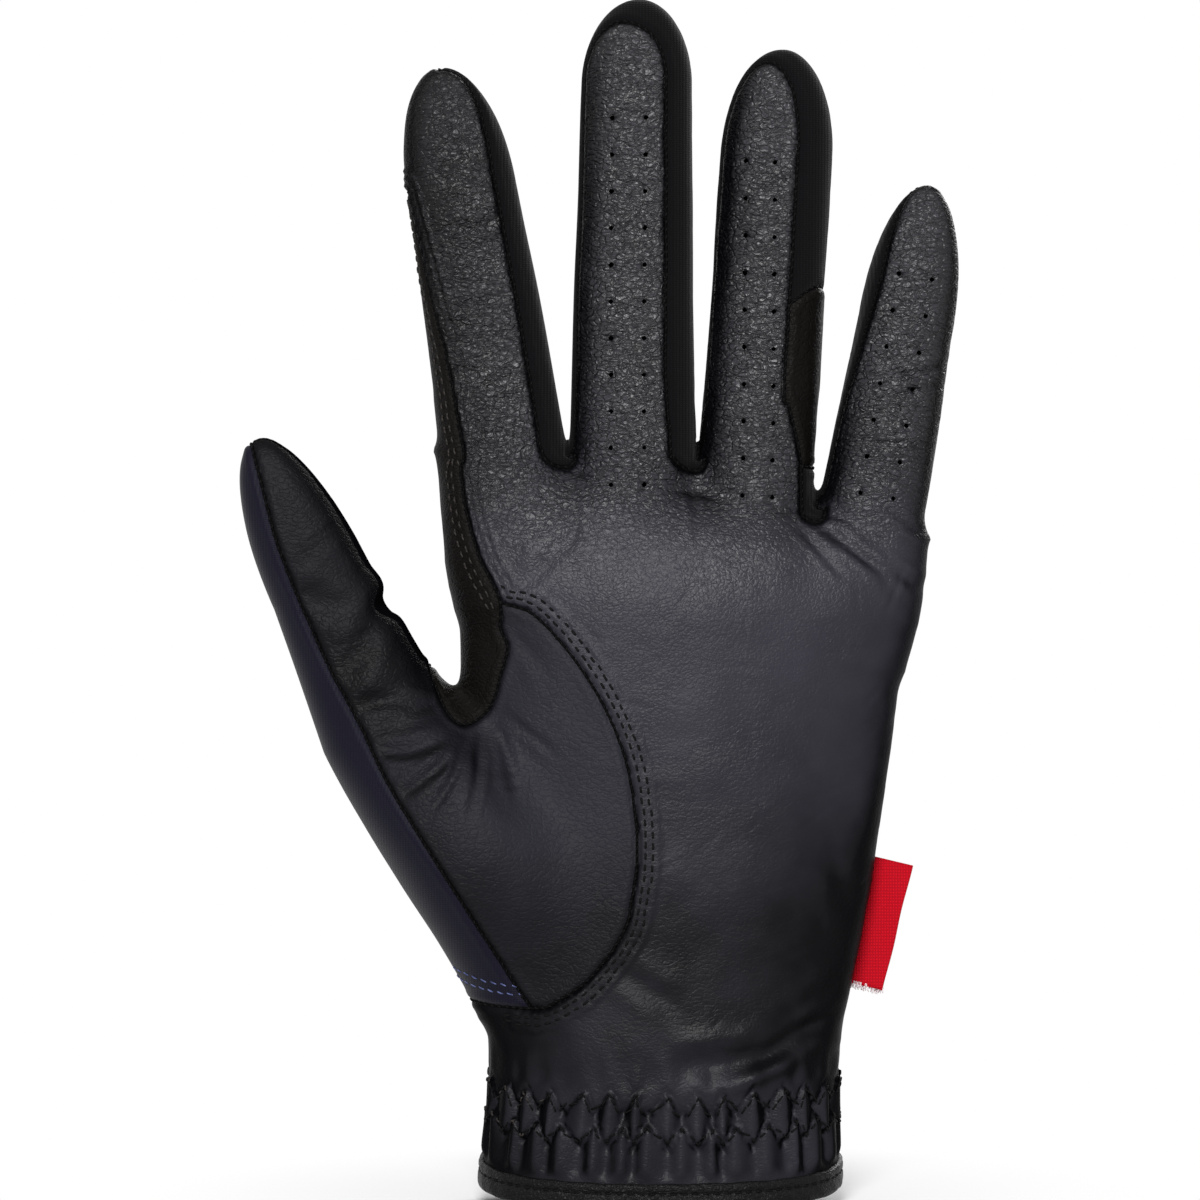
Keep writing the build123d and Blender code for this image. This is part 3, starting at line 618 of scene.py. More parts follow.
# perforations let air to the fingers: two columns of punched holes on three fingers, each from its top
# to its foot, across and along the finger
hole_radius = 0.44
punched = (middle, ring, little)
hole_lines = [(middle, 11, (-4.2, 60.2), (1.8, 60.2), (-4.0, -5.0), (2.0, -5.0)),
              (ring, 10, (-5.6, 53.5), (-0.4, 53.5), (-2.4, -5.9), (3.0, -5.9)),
              (little, 7, (-3.0, 43.6), (3.0, 43.6), (-3.0, 4.0), (3.0, 4.0))]
holes = []
for d, count, *ends in hole_lines:
    for top, foot in ((ends[0], ends[2]), (ends[1], ends[3])):
        for i in range(count):
            k = i / (count - 1)
            holes.append((d, top[0] + (foot[0] - top[0]) * k, top[1] + (foot[1] - top[1]) * k))


def hole_field(d, p):
    """Distance from the edge of the nearest hole of a finger, and the offsets from its middle."""
    u, v, s = across_digit(d, p)
    best = np.full(len(p), 99.0)
    du, ds = np.full(len(p), 99.0), np.full(len(p), 99.0)
    for owner_digit, hu, hs in holes:
        if owner_digit is d:
            dist = np.hypot(u - hu, s - hs)
            near = (dist < best) & (v < 0)
            best = np.where(near, dist, best)
            du, ds = np.where(near, u - hu, du), np.where(near, s - hs, ds)
    return best - hole_radius, du, ds


for d in punched:
    for turn in range(2):
        dist, du, ds = hole_field(d, skin)
        split_here((du, ds)[turn], dist < 1.2)
    dist, du, ds = hole_field(d, skin)
    split_here(dist, dist < 1.2)

centres = skin[faces].mean(1)
panel = panel_of(centres)
for d in punched:
    panel[hole_field(d, centres)[0] < 0] = -1
panel[(centres[:, 1] > 0) & (slit_field(centres, slit_half) < 0) & (centres[:, 2] < 60)] = -1
panel[(panel < 0) & (centres[:, 1] < 0) & (centres[:, 2] < 60)] = 0
faces, panel = faces[panel >= 0], panel[panel >= 0]

# ---------------------------------------------------------------------------------------
# Relief of the worn glove
# Soft leather and knit never lie flat: they pull in at every seam, stand in ridges over
# the seam allowance, crease across the finger joints and gather over the elastic.
# ---------------------------------------------------------------------------------------
# panels in a group are cut in one piece, so no seam is drawn between them
same_cloth = [("palm_leather", "index_leather", "middle_leather", "ring_leather", "little_leather"),
              ("thumb_inset_leather", "thumb_leather"), ("thumb_inset_back", "thumb_back"),
              ("back_panel", "index_back", "middle_back", "ring_back", "little_back"),
              ("thumb_gusset", "thumb_crotch", "index_outer_strip"),
              ("web_index_middle", "web_middle_ring", "web_ring_little", "index_sidewall",
               "middle_sidewall", "ring_sidewall", "little_sidewall"),
              ("ring_side_patch",), ("slit_binding",)]
group_of = np.array([[i for i, group in enumerate(same_cloth) if n in group][0] for n in names])
group = group_of[panel]
lowest = np.full(len(skin), 99)
highest = np.full(len(skin), -1)
for i in range(3):
    np.minimum.at(lowest, faces[:, i], group)
    np.maximum.at(highest, faces[:, i], group)
on_seam = np.nonzero((lowest != highest) & (highest >= 0))[0]
tree = KDTree(len(on_seam))
for i, k in enumerate(on_seam):
    tree.insert(skin[k], i)
tree.balance()
from_seam = np.full(len(skin), 9.0)
nearest_seam = np.zeros(len(skin), int)
for k in np.nonzero(highest >= 0)[0]:
    place, i, dist = tree.find(skin[k])
    from_seam[k] = dist
    nearest_seam[k] = on_seam[i]
seam_low, seam_high = lowest[nearest_seam], highest[nearest_seam]
palm_group, oval_group, strip_group, patch_group, slit_group = 0, 1, 4, 6, 7
is_leather = np.isin(lowest, (palm_group, oval_group, strip_group, patch_group))

normal = slope_of(hand_field, skin)
normal /= np.linalg.norm(normal, axis=1)[:, None]
chance = np.random.default_rng(11)


def lumps(p, size, seed):
    """Soft random unevenness of about that size in mm, from -1 to 1."""
    q = p / size + seed * 7.31
    cell = np.floor(q)
    f = q - cell
    f = f * f * (3 - 2 * f)
    total = np.zeros(len(p))
    for corner in range(8):
        step = np.array([corner & 1, corner >> 1 & 1, corner >> 2 & 1])
        c = cell + step
        h = np.sin(c @ np.array([12.9898, 78.233, 37.719]) + seed) * 43758.5453
        w = np.prod(np.where(step, f, 1 - f), 1)
        total += w * (2 * (h - np.floor(h)) - 1)
    return total


def crease(distance, width, depth):
    """A fold: a narrow valley with a soft ridge on each side."""
    t = distance / width
    return depth * (0.55 * np.exp(-((np.abs(t) - 1.9) / 0.9) ** 2) - np.exp(-t * t))


hide_lumps = 0.28 * lumps(skin, 15.0, 1) + 0.12 * lumps(skin, 6.0, 2) + 0.05 * lumps(skin, 2.6, 3)
cloth_lumps = 0.16 * lumps(skin, 18.0, 4) + 0.05 * lumps(skin, 7.0, 5)
relief = np.where(is_leather, hide_lumps, cloth_lumps)

# every seam pulls the skin in; leather rolls up a little beside it
relief += -0.42 * np.exp(-(from_seam / 0.45) ** 2) + 0.15 * np.exp(-((from_seam - 1.3) / 0.7) ** 2)
# the turned-under edge makes a flat ridge under the double rows of stitches
double_rows = (seam_low == palm_group) & np.isin(seam_high, (oval_group, strip_group))
double_rows = double_rows & (lowest == palm_group)
relief += np.where(double_rows, 0.36 * (1 - ease(from_seam, 3.5, 4.4)) * ease(from_seam, 0.2, 0.8), 0.0)
relief += np.where(double_rows, -0.34 * (np.exp(-((from_seam - 1.55) / 0.34) ** 2)
                                         + np.exp(-((from_seam - 2.9) / 0.34) ** 2)), 0.0)
# the tape round the slit lies on top of the back
relief += np.where(lowest == slit_group, 0.45, 0.0)

# the deepest folds of each digit: distance along it, tilt, width, depth, and middle and reach across it
deep_folds = {
    "index": ((41.5, 0.02, 0.9, 0.42, 0.0, 8.0), (46.0, -0.06, 0.6, 0.22, 2.0, 6.0),
              (37.5, 0.06, 0.5, 0.22, -1.0, 7.0), (28.0, 0.05, 0.8, 0.30, 0.0, 8.0),
              (23.0, -0.35, 0.8, 0.34, 0.0, 7.0), (31.5, -0.05, 0.5, 0.2, 2.0, 6.0),
              (10.0, 0.05, 0.7, 0.22, 0.0, 7.0), (6.0, -0.08, 0.6, 0.2, 2.0, 7.0),
              (13.5, 0.12, 0.6, 0.18, 2.0, 6.0)),
    "middle": ((26.0, 0.05, 0.7, 0.22, -2.0, 7.0), (48.0, -0.06, 0.6, 0.20, 2.0, 7.0),
               (45.5, 0.12, 0.5, 0.16, -3.0, 5.0)),
    "ring": ((50.0, -0.12, 0.8, 0.34, 3.0, 6.0), (43.0, 0.08, 0.6, 0.24, 0.0, 7.0),
             (40.0, -0.1, 0.5, 0.2, -3.0, 6.0), (22.0, 0.05, 0.6, 0.2, -1.0, 7.0)),
    "little": ((27.0, 0.42, 0.8, 0.34, 3.0, 6.0), (24.0, 0.34, 0.6, 0.26, 4.0, 6.0),
               (20.0, 0.22, 0.6, 0.24, 2.0, 6.0), (14.0, 0.10, 0.6, 0.22, 3.0, 6.0),
               (8.0, 0.0, 0.6, 0.24, 2.0, 6.0), (2.0, -0.45, 0.8, 0.3, 3.0, 7.0)),
    "thumb": ((24.5, -0.65, 2.6, 0.50, -1.0, 6.0), (15.0, 0.55, 2.4, 0.50, 3.0, 7.0),
              (4.5, 0.10, 1.8, 0.40, 2.0, 9.0), (33.0, 0.3, 1.4, 0.15, 0.0, 6.0))}

# small creases across the digits, most of them where the joints bend
for number, d in enumerate(digits):
    u, v, s = across_digit(d, skin)
    front = ease(-v / half_depth(d, s), -0.1, 0.5) * ease(s, -9.0, 4.0) * (np.abs(u) < d["width"] * 0.62)
    front = front * (1 - ease(s, d["length"] - 12, d["length"] - 4))
    front = front * np.where(is_leather, 1.0, 0.35) * ease(from_seam, 0.3, 1.6)
    joints = (0.30 * d["length"], 0.58 * d["length"])
    for i in range(44 if d is not thumb else 12):
        if i < 26:
            centre = joints[i % 2] + chance.normal(0, 0.10 * d["length"])
        else:
            centre = chance.uniform(0, d["length"] - 8)
        tilt, bow = chance.normal(0, 0.20), chance.normal(0, 0.012)
        wide, deepness = chance.uniform(0.30, 0.6), chance.uniform(0.04, 0.14)
        reach, middle_u = chance.uniform(2.5, 8.0), chance.uniform(-6.0, 6.0)
        fold = crease(s - centre - tilt * (u - middle_u) - bow * (u - middle_u) ** 2, wide, deepness)
        relief += front * fold * np.exp(-((u - middle_u) / reach) ** 2)
    if d is thumb:
        dent = ease(u, 3.5, 8.5) * (1 - ease(u, 13.0, 16.0))
        dent = dent * (1 - ease(v, 1.0, 6.0)) * (1 - ease(-v, 3.0, 9.0))
        relief += dent * (-1.75 * np.exp(-((s - 19.8) / 2.1) ** 2) + 0.5 * np.exp(-((s - 24.0) / 2.6) ** 2))
    for centre, tilt, wide, deepness, middle_u, reach in deep_folds[d["name"]]:
        off = s - centre - tilt * (u - middle_u) - 0.8 * lumps(skin, 5.0, number + centre)
        relief += front * crease(off, wide, deepness) * np.exp(-((u - middle_u) / reach) ** 2)

# folds of the palm: from and to, width and depth in mm
palm_folds = [((27.0, 121.0), (42.5, 106.0), 1.1, 0.50), ((24.0, 117.5), (34.0, 109.0), 0.8, 0.25),
              ((40.5, 112.0), (47.5, 106.5), 1.0, 0.40), ((2.0, 22.3), (18.0, 24.0), 2.0, 0.75),
              ((14.0, 23.6), (32.0, 31.5), 1.9, 0.95), ((16.0, 27.5), (33.0, 38.0), 1.6, 0.40),
              ((-30.0, 26.0), (-16.0, 28.0), 1.8, 0.25), ((-8.0, 40.0), (3.0, 33.0), 1.8, 0.3),
              ((-16.0, 125.0), (-15.0, 114.0), 0.8, 0.16), ((6.0, 125.0), (7.0, 115.0), 0.8, 0.16),
              ((-36.0, 79.0), (-49.0, 67.0), 1.0, 0.45), ((-34.0, 80.0), (-42.0, 66.0), 0.8, 0.35),
              ((-31.5, 80.5), (-33.5, 66.0), 0.8, 0.32), ((-29.5, 82.0), (-25.0, 70.0), 0.8, 0.30),
              ((-28.0, 85.0), (-18.0, 77.0), 0.8, 0.22), ((-38.0, 81.0), (-54.0, 76.0), 1.3, 0.50),
              ((-41.0, 86.0), (-56.0, 87.0), 1.2, 0.34), ((-28.0, 100.0), (-19.0, 90.0), 1.4, 0.22),
              ((-25.0, 107.0), (-14.0, 118.0), 1.6, 0.30), ((30.0, 62.0), (37.0, 46.0), 2.2, 0.28)]
front = (skin[:, 1] < 2.0) * ease(-skin[:, 1], -2.0, 3.0) * is_leather * ease(from_seam, 0.4, 2.4)
for (ax, az), (bx, bz), wide, deepness in palm_folds:
    dx, dz = bx - ax, bz - az
    size = math.hypot(dx, dz)
    t = ((skin[:, 0] - ax) * dx + (skin[:, 2] - az) * dz) / size
    off = ((skin[:, 0] - ax) * dz - (skin[:, 2] - az) * dx) / size + 1.0 * lumps(skin, 7.0, ax)
    off = off - 0.03 * (t - size / 2) ** 2 / size * 2
    ends = ease(t, -2.0, 0.35 * size) * (1 - ease(t, 0.65 * size, size + 2.0))
    relief += front * ends * crease(off, wide, deepness)
for i in range(90):
    cx, cz = chance.uniform(-30, 42), chance.uniform(25, 126)
    angle = chance.uniform(-0.9, 0.9) + (1.2 if cz > 100 else 0.0)
    wide, deepness, reach = chance.uniform(0.3, 0.6), chance.uniform(0.03, 0.08), chance.uniform(2, 6)
    dx, dz = math.cos(angle), math.sin(angle)
    t = (skin[:, 0] - cx) * dx + (skin[:, 2] - cz) * dz
    near = np.abs(t) < 3 * reach
    off = (skin[near, 0] - cx) * dz - (skin[near, 2] - cz) * dx
    fold = crease(off, wide, deepness) * (np.abs(off) < 3)
    relief[near] += front[near] * np.exp(-(t[near] / reach) ** 2) * fold

# the cuff: two rows of zigzag stitching hold the elastic inside and gather the leather
arc_angle = np.linspace(-math.pi, math.pi, 721)
c0, s0 = np.cos(arc_angle), np.sin(arc_angle)
arc_x = wrist_x * np.sign(c0) * np.abs(c0) ** (2 / roundness)
arc_y = wrist_y * np.sign(s0) * np.abs(s0) ** (2 / roundness)
arc_place = np.arctan2(arc_y, arc_x)
arc_place[0], arc_place[-1] = -math.pi, math.pi
arc_length = np.concatenate([[0], np.cumsum(np.hypot(np.diff(arc_x), np.diff(arc_y)))])


def round_the_cuff(p):
    """How far round the wrist a point lies, in mm."""
    shift = palm_shift * np.clip(p[:, 2], 0, 100) / 100
    return np.interp(np.arctan2(p[:, 1], p[:, 0] - shift), arc_place, arc_length)


# a stitch follows the hand that guides it, so the zigzag's steps are not quite even
zigzag_pitch = 5.3
zigzag_rows = (12.9, 18.5)
zigzag_reach = 1.9
warp_from = np.linspace(-20, arc_length[-1] + 20, 2400)
warp_to = warp_from + 0.45 * np.sin(0.37 * warp_from) + 0.3 * np.sin(0.83 * warp_from + 1.0)


def zigzag_line(c, row):
    """Height above the hem of a zigzag at a distance round the wrist; the lower row is half a step on."""
    turn = np.interp(c, warp_from, warp_to) / zigzag_pitch % 1
    swing = 2 * np.abs(2 * turn - 1) - 1
    return zigzag_rows[row] + zigzag_reach * (swing if row else -swing) + 0.3 * np.sin(0.21 * c + row)


round_cuff = round_the_cuff(skin)
above_hem = hem_height(skin)
beat = np.cos(2 * np.pi * np.interp(round_cuff, warp_from, warp_to) / zigzag_pitch)
over_low = above_hem - zigzag_line(round_cuff, 0)
over_high = above_hem - zigzag_line(round_cuff, 1)
sides_of_wrist = 1 - ease(skin[:, 1], -1.0, back_line)
strength = 0.58 + 0.22 * lumps(np.stack([round_cuff, above_hem, 0 * round_cuff], 1), 5.0, 8)
between = ease(over_low, -0.3, 0.3) * (1 - ease(over_high, -0.3, 0.3))
below = (1 - ease(over_low, -0.3, 0.3)) * ease(above_hem, 4.7, 7.0)
relief *= 1 - 0.6 * (between + below)
relief += sides_of_wrist * strength * (between * (0.2 + beat) - below * (beat - 0.1) * 0.85)
relief += sides_of_wrist * ease(above_hem, 20.0, 22.0) * (1 - ease(above_hem, 22.0, 28.0)) * 0.12 * beat
for gap in (over_low, over_high):
    relief += sides_of_wrist * -0.42 * np.exp(-(gap / 0.5) ** 2)
# the lower corners of both rows are drawn in deepest
for row, side in ((1, -1), (0, 1)):
    level = zigzag_rows[row] - zigzag_reach
    foot = np.exp(-((above_hem - level) / 0.9) ** 2) * np.maximum(side * beat, 0) ** 6
    relief += -0.55 * sides_of_wrist * foot
# one loose fold hangs over the upper row
fold_x = skin[:, 0] - 17.5
fold = np.exp(-((fold_x * 0.36 - (skin[:, 2] - 20.8) * 0.93) / 1.7) ** 2 - (fold_x / 6.5) ** 2)
relief += (skin[:, 1] < 0) * 0.85 * fold * ease(over_high, 0.0, 1.5)
# the back gathers in soft waves over the elastic
back_gather = (ease(above_hem, 4.6, 9.0) * (1 - ease(above_hem, 14.0, 40.0))
               * ease(skin[:, 1], back_line, 9.0))
relief += back_gather * 0.18 * np.cos(2 * np.pi * (round_cuff + 1.5 * lumps(skin, 14.0, 9)) / 8.0)
relief *= 1 - 0.9 * (1 - ease(above_hem, 4.0, 6.0))
# the skin dips round each punched hole
for d in punched:
    dist = hole_field(d, skin)[0]
    relief -= 0.22 * np.exp(-(np.maximum(dist, 0) / 0.45) ** 2) * (dist < 3)

flat_skin = skin
skin = skin + normal * relief[:, None]
corner = skin[faces]
face_normal = np.cross(corner[:, 1] - corner[:, 0], corner[:, 2] - corner[:, 0])
normal = np.zeros_like(skin)
for i in range(3):
    for k in range(3):
        normal[:, k] += np.bincount(faces[:, i], face_normal[:, k], len(skin))
normal /= np.maximum(np.linalg.norm(normal, axis=1), 1e-9)[:, None]
if (normal * slope_of(hand_field, flat_skin)).sum(1).mean() < 0:
    faces = faces[:, ::-1]
    normal = -normal


# ---------------------------------------------------------------------------------------
# Finishes
# Fine-grain goat leather, matt stretch knit, a smooth navy coated stretch cloth, sewing
# thread, woven tape and the hook-and-loop of the closure.
# ---------------------------------------------------------------------------------------


def srgb(text):
    """A colour as painted, from its hex value."""
    out = []
    for i in (1, 3, 5):
        c = int(text[i:i + 2], 16) / 255
        out.append(c / 12.92 if c <= 0.04045 else ((c + 0.055) / 1.055) ** 2.4)
    return (*out, 1.0)


def wire(tree, node, inputs):
    """Sets a node's inputs, each to a plain value, or to the output or the node that feeds it."""
    for key, value in inputs.items():
        if isinstance(value, bpy.types.Node):
            value = next(o for o in value.outputs if o.enabled)
        if isinstance(value, bpy.types.NodeSocket):
            tree.links.new(value, node.inputs[key])
        else:
            node.inputs[key].default_value = value


def add_node(tree, kind, inputs, **settings):
    """Adds a node with its settings and its inputs."""
    made = tree.nodes.new("ShaderNode" + kind)
    for key, value in settings.items():
        setattr(made, key, value)
    wire(tree, made, inputs)
    return made


def new_finish(name):
    """A new material, its nodes, its surface shader and the place of each point in metres."""
    material = bpy.data.materials.new(name)
    material.use_nodes = True
    tree = material.node_tree
    place = add_node(tree, "TexCoord", {}).outputs["Object"]
    return material, tree, tree.nodes["Principled BSDF"], place


def goat_leather(name, dark, light, rough, specular, grain=0.8, cross=1.0, hand=""):
    """Dyed goat leather: a soft satin skin of small pebbles, drawn a little coarser than the real 0.5 mm.
    hand says where it covers the hand. There it has painted light, paler and shinier where it faces the
    front, as crown tells it, and painted shade at the sides. "palm" is creased on the fingers and smooth on
    the palm, with painted light higher on the palm, painted shade above the cuff and along the index finger's
    side, and painted shade in the creases of the grain on the fingers. "ball" has a painted highlight, palest
    in the middle of the ball of the thumb."""
    material, tree, shader, place = new_finish(name)
    patches = add_node(tree, "TexNoise", {"Vector": place, "Scale": 1000 / 17, "Detail": 4.0})
    share, wrinkled, shine, grained, netted = patches, cross, specular, 0.6, 0.5
    if hand:
        crown = add_node(tree, "Attribute", {}, attribute_name="crown").outputs["Fac"]
        # painted light: paler where the skin faces the front, with painted shade where it turns away at the
        # sides
        painted_facing_light = add_node(tree, "MapRange", {"Value": crown, "From Min": 0.55, "From Max": 0.99,
                                                "To Min": -0.52, "To Max": 0.10},
                             interpolation_type="SMOOTHSTEP")
        share = add_node(tree, "Math", {0: patches, 1: painted_facing_light}, operation="ADD")
    if hand == "palm":
        spot = add_node(tree, "SeparateXYZ", {0: place})
        across, height = spot.outputs[0], spot.outputs[2]
        on_fingers = add_node(tree, "MapRange", {"Value": height, "From Min": 0.104, "From Max": 0.136},
                              interpolation_type="SMOOTHSTEP")
        # painted light higher on the palm, with painted shade low on it above the cuff
        painted_light = add_node(tree, "MapRange", {"Value": height, "From Min": 0.038, "From Max": 0.092,
                                              "To Min": -0.44, "To Max": 0.26},
                           interpolation_type="SMOOTHSTEP")
        # painted shade along the index finger's side of the hand
        painted_index_side_shade = add_node(tree, "MapRange", {"Value": across, "From Min": -0.040, "From Max": -0.022,
                                                 "To Min": -0.38, "To Max": 0.0})
        # lighter again at the cuff itself, below the painted shade
        cuffed = add_node(tree, "MapRange", {"Value": height, "From Min": 0.020, "From Max": 0.032,
                                             "To Min": 0.26, "To Max": 0.0})
        for part in (painted_light, painted_index_side_shade, cuffed):
            share = add_node(tree, "Math", {0: share, 1: part}, operation="ADD")
        share = add_node(tree, "Math", {0: on_fingers, 1: -0.34, 2: share}, operation="MULTIPLY_ADD",
                         use_clamp=True)
        shine = add_node(tree, "MapRange", {"Value": height, "From Min": 0.100, "From Max": 0.140,
                                            "To Min": 0.08, "To Max": 0.36})
        # painted highlight: shine where the skin faces the front, dimmed to a painted shade at the sides
        painted_front_highlight = add_node(tree, "MapRange", {"Value": crown, "From Min": 0.62, "From Max": 0.985,
                                                   "To Min": 0.15, "To Max": 1.05},
                                interpolation_type="SMOOTHSTEP")
        # painted shade: less shine along the index finger's side
        painted_index_side_dimming = add_node(tree, "Math", {0: painted_index_side_shade, 1: 1.0}, operation="ADD")
        for part in (painted_front_highlight, painted_index_side_dimming):
            shine = add_node(tree, "Math", {0: shine, 1: part}, operation="MULTIPLY")
        wrinkled = add_node(tree, "MapRange", {"Value": on_fingers, "To Min": 0.10 * cross, "To Max": cross})
        grained = add_node(tree, "MapRange", {"Value": height, "From Min": 0.050, "From Max": 0.110,
                                              "To Min": 0.18, "To Max": 0.50})
        netted = add_node(tree, "MapRange", {"Value": on_fingers, "To Min": 0.12, "To Max": 0.95})
    if hand == "ball":
        reach = add_node(tree, "VectorMath", {0: place, 1: (-0.015, -0.018, 0.080)}, operation="DISTANCE")
        # painted highlight: palest in the middle of the ball of the thumb, with painted shade round it
        painted_light = add_node(tree, "MapRange", {"Value": reach, "From Min": 0.006, "From Max": 0.042,
                                              "To Min": 0.50, "To Max": -0.42},
                           interpolation_type="SMOOTHSTEP")
        share = add_node(tree, "Math", {0: share, 1: painted_light}, operation="ADD", use_clamp=True)
        # painted highlight: shine only where the skin faces the front
        shine = add_node(tree, "MapRange", {"Value": crown, "From Min": 0.40, "From Max": 0.90,
                                            "To Min": 0.0, "To Max": specular})
        grained = netted = 0.34
    drift = add_node(tree, "TexNoise", {"Vector": place, "Scale": 1000 / 1.5, "Detail": 2.0})
    swing = add_node(tree, "VectorMath", {0: drift.outputs["Color"], 1: (0.0009, 0.0009, 0.0009)},
                     operation="MULTIPLY")
    moved = add_node(tree, "VectorMath", {0: place, 1: swing}, operation="ADD")
    pebbles = add_node(tree, "TexVoronoi", {"Vector": moved, "Scale": 1000 / grain},
                       feature="DISTANCE_TO_EDGE")
    drawn = add_node(tree, "VectorMath", {0: moved, 1: (1.0, 1.0, 1.75)}, operation="MULTIPLY")
    creases = add_node(tree, "TexVoronoi", {"Vector": drawn, "Scale": 1000 / (grain * 2.0)},
                       feature="DISTANCE_TO_EDGE")
    fine = add_node(tree, "MapRange", {"Value": pebbles.outputs["Distance"], "From Max": 0.22})
    broad = add_node(tree, "MapRange", {"Value": creases.outputs["Distance"], "From Max": 0.20},
                     interpolation_type="SMOOTHSTEP")
    if hand == "palm":
        # painted shade in the creases of the grain on the fingers
        sunk = add_node(tree, "MapRange", {"Value": broad, "To Min": 0.25, "To Max": 1.0})
        sunk = add_node(tree, "Mix", {"Factor": on_fingers, "A": 1.0, "B": sunk})
        share = add_node(tree, "Math", {0: share, 1: sunk}, operation="MULTIPLY")
    colour = add_node(tree, "Mix", {"Factor": share, "A": srgb(dark), "B": srgb(light)}, data_type="RGBA")
    wide = add_node(tree, "VectorMath", {0: moved, 1: (190.0, 190.0, 520.0)}, operation="MULTIPLY")
    pulls = add_node(tree, "TexNoise", {"Vector": wide, "Scale": 1.0, "Detail": 2.0, "Roughness": 0.5,
                                        "Distortion": 0.8})
    ridges = add_node(tree, "Math", {0: pulls, 1: 0.10}, operation="PINGPONG")
    worn = add_node(tree, "MapRange", {"Value": patches, "From Min": 0.3, "From Max": 0.7,
                                       "To Min": rough - 0.05, "To Max": rough + 0.06})
    bump = add_node(tree, "Bump", {"Height": ridges, "Distance": 0.0030, "Strength": wrinkled})
    bump = add_node(tree, "Bump", {"Height": broad, "Distance": 0.00016, "Strength": netted, "Normal": bump})
    bump = add_node(tree, "Bump", {"Height": fine, "Distance": 0.00006, "Strength": grained, "Normal": bump})
    wire(tree, shader, {"Base Color": colour, "Roughness": worn, "Normal": bump, "Specular IOR Level": shine})
    return material


def knit(name, dark, light, rows, rough, sheen, deep=0.00022):
    """Stretch knit: rows of loops, so the eye sees a fine matt rib that swallows light."""
    material, tree, shader, place = new_finish(name)
    loops = [add_node(tree, "TexWave", {"Vector": place, "Scale": 314.0 / pitch, "Distortion": 0.6,
                                        "Detail": 1.0}, bands_direction=way).outputs["Fac"]
             for way, pitch in (("X", rows), ("Z", rows * 0.7))]
    loops = add_node(tree, "Math", {0: loops[0], 1: loops[1]}, operation="MULTIPLY")
    fuzz = add_node(tree, "TexNoise", {"Vector": place, "Scale": 1000 / 6, "Detail": 6.0})
    shade = add_node(tree, "Math", {0: loops, 1: fuzz}, operation="MULTIPLY")
    colour = add_node(tree, "Mix", {"Factor": shade, "A": srgb(dark), "B": srgb(light)}, data_type="RGBA")
    bump = add_node(tree, "Bump", {"Height": loops, "Distance": deep, "Strength": 0.7})
    wire(tree, shader, {"Base Color": colour, "Normal": bump, "Roughness": rough, "Specular IOR Level": 0.08,
                        "Sheen Weight": sheen, "Sheen Roughness": 0.5})
    return material


# the palm and the fronts of the fingers: near black, with painted light and a painted satin highlight higher
# up and where the skin faces the front
palm_hide = goat_leather("black_goat_leather", "#060608", "#2b2a31", 0.38, 0.13, 0.8, 0.62, "palm")
# the oval thumb piece: the same hide, duller and softer in its grain
thumb_hide = goat_leather("black_goat_leather_thumb", "#070709", "#212127", 0.50, 0.08, 0.8, 0.10, "ball")
# the strips and patches at the sides: a flat warm black
strip_hide = goat_leather("black_goat_leather_strip", "#080706", "#0f0d0c", 0.50, 0.05, 0.8, 0.10)
# the roll at the hem: smooth, with a thin line of gleam along it
binding_hide = goat_leather("rolled_binding_leather", "#080809", "#0f0f10", 0.42, 0.10, 0.6, 0.3)
# the turned edge inside a seam: a dull dark line between two panels
seam_cord = goat_leather("rolled_seam_edge", "#040404", "#070707", 0.60, 0.03, 0.6, 0.3)
# the side walls: a matt rib that swallows light
black_knit = knit("black_stretch_knit", "#050506", "#0d0e11", 0.55, 0.95, 0.04, 0.00012)
# the back: a nearly smooth, very dark navy with a soft gleam
navy_cloth = knit("navy_coated_stretch_cloth", "#0a0916", "#121022", 0.5, 0.55, 0.06, 0.00005)
# elastic: a coarser, matt black weave
elastic_tape = knit("black_woven_elastic", "#070708", "#141416", 1.3, 0.8, 0.04, 0.0003)


def thread_finish(name, colour, light):
    """Spun polyester thread: twisted plies with a faint satin gleam."""
    material, tree, shader, place = new_finish(name)
    twist = add_node(tree, "TexWave", {"Vector": place, "Scale": 314.0 / 0.35}, bands_direction="DIAGONAL")
    mix = add_node(tree, "Mix", {"Factor": twist.outputs["Fac"], "A": srgb(colour), "B": srgb(light)},
                   data_type="RGBA")
    wire(tree, shader, {"Base Color": mix, "Roughness": 0.7, "Specular IOR Level": 0.1})
    return material


# black for every seam, a worn grey on the strips and the cuff, light blue at the heel of the navy panel
black_thread = thread_finish("black_sewing_thread", "#020202", "#060606")
grey_thread = thread_finish("worn_grey_sewing_thread", "#1b1918", "#35312f")
blue_thread = thread_finish("light_blue_sewing_thread", "#343a5c", "#5d648c")

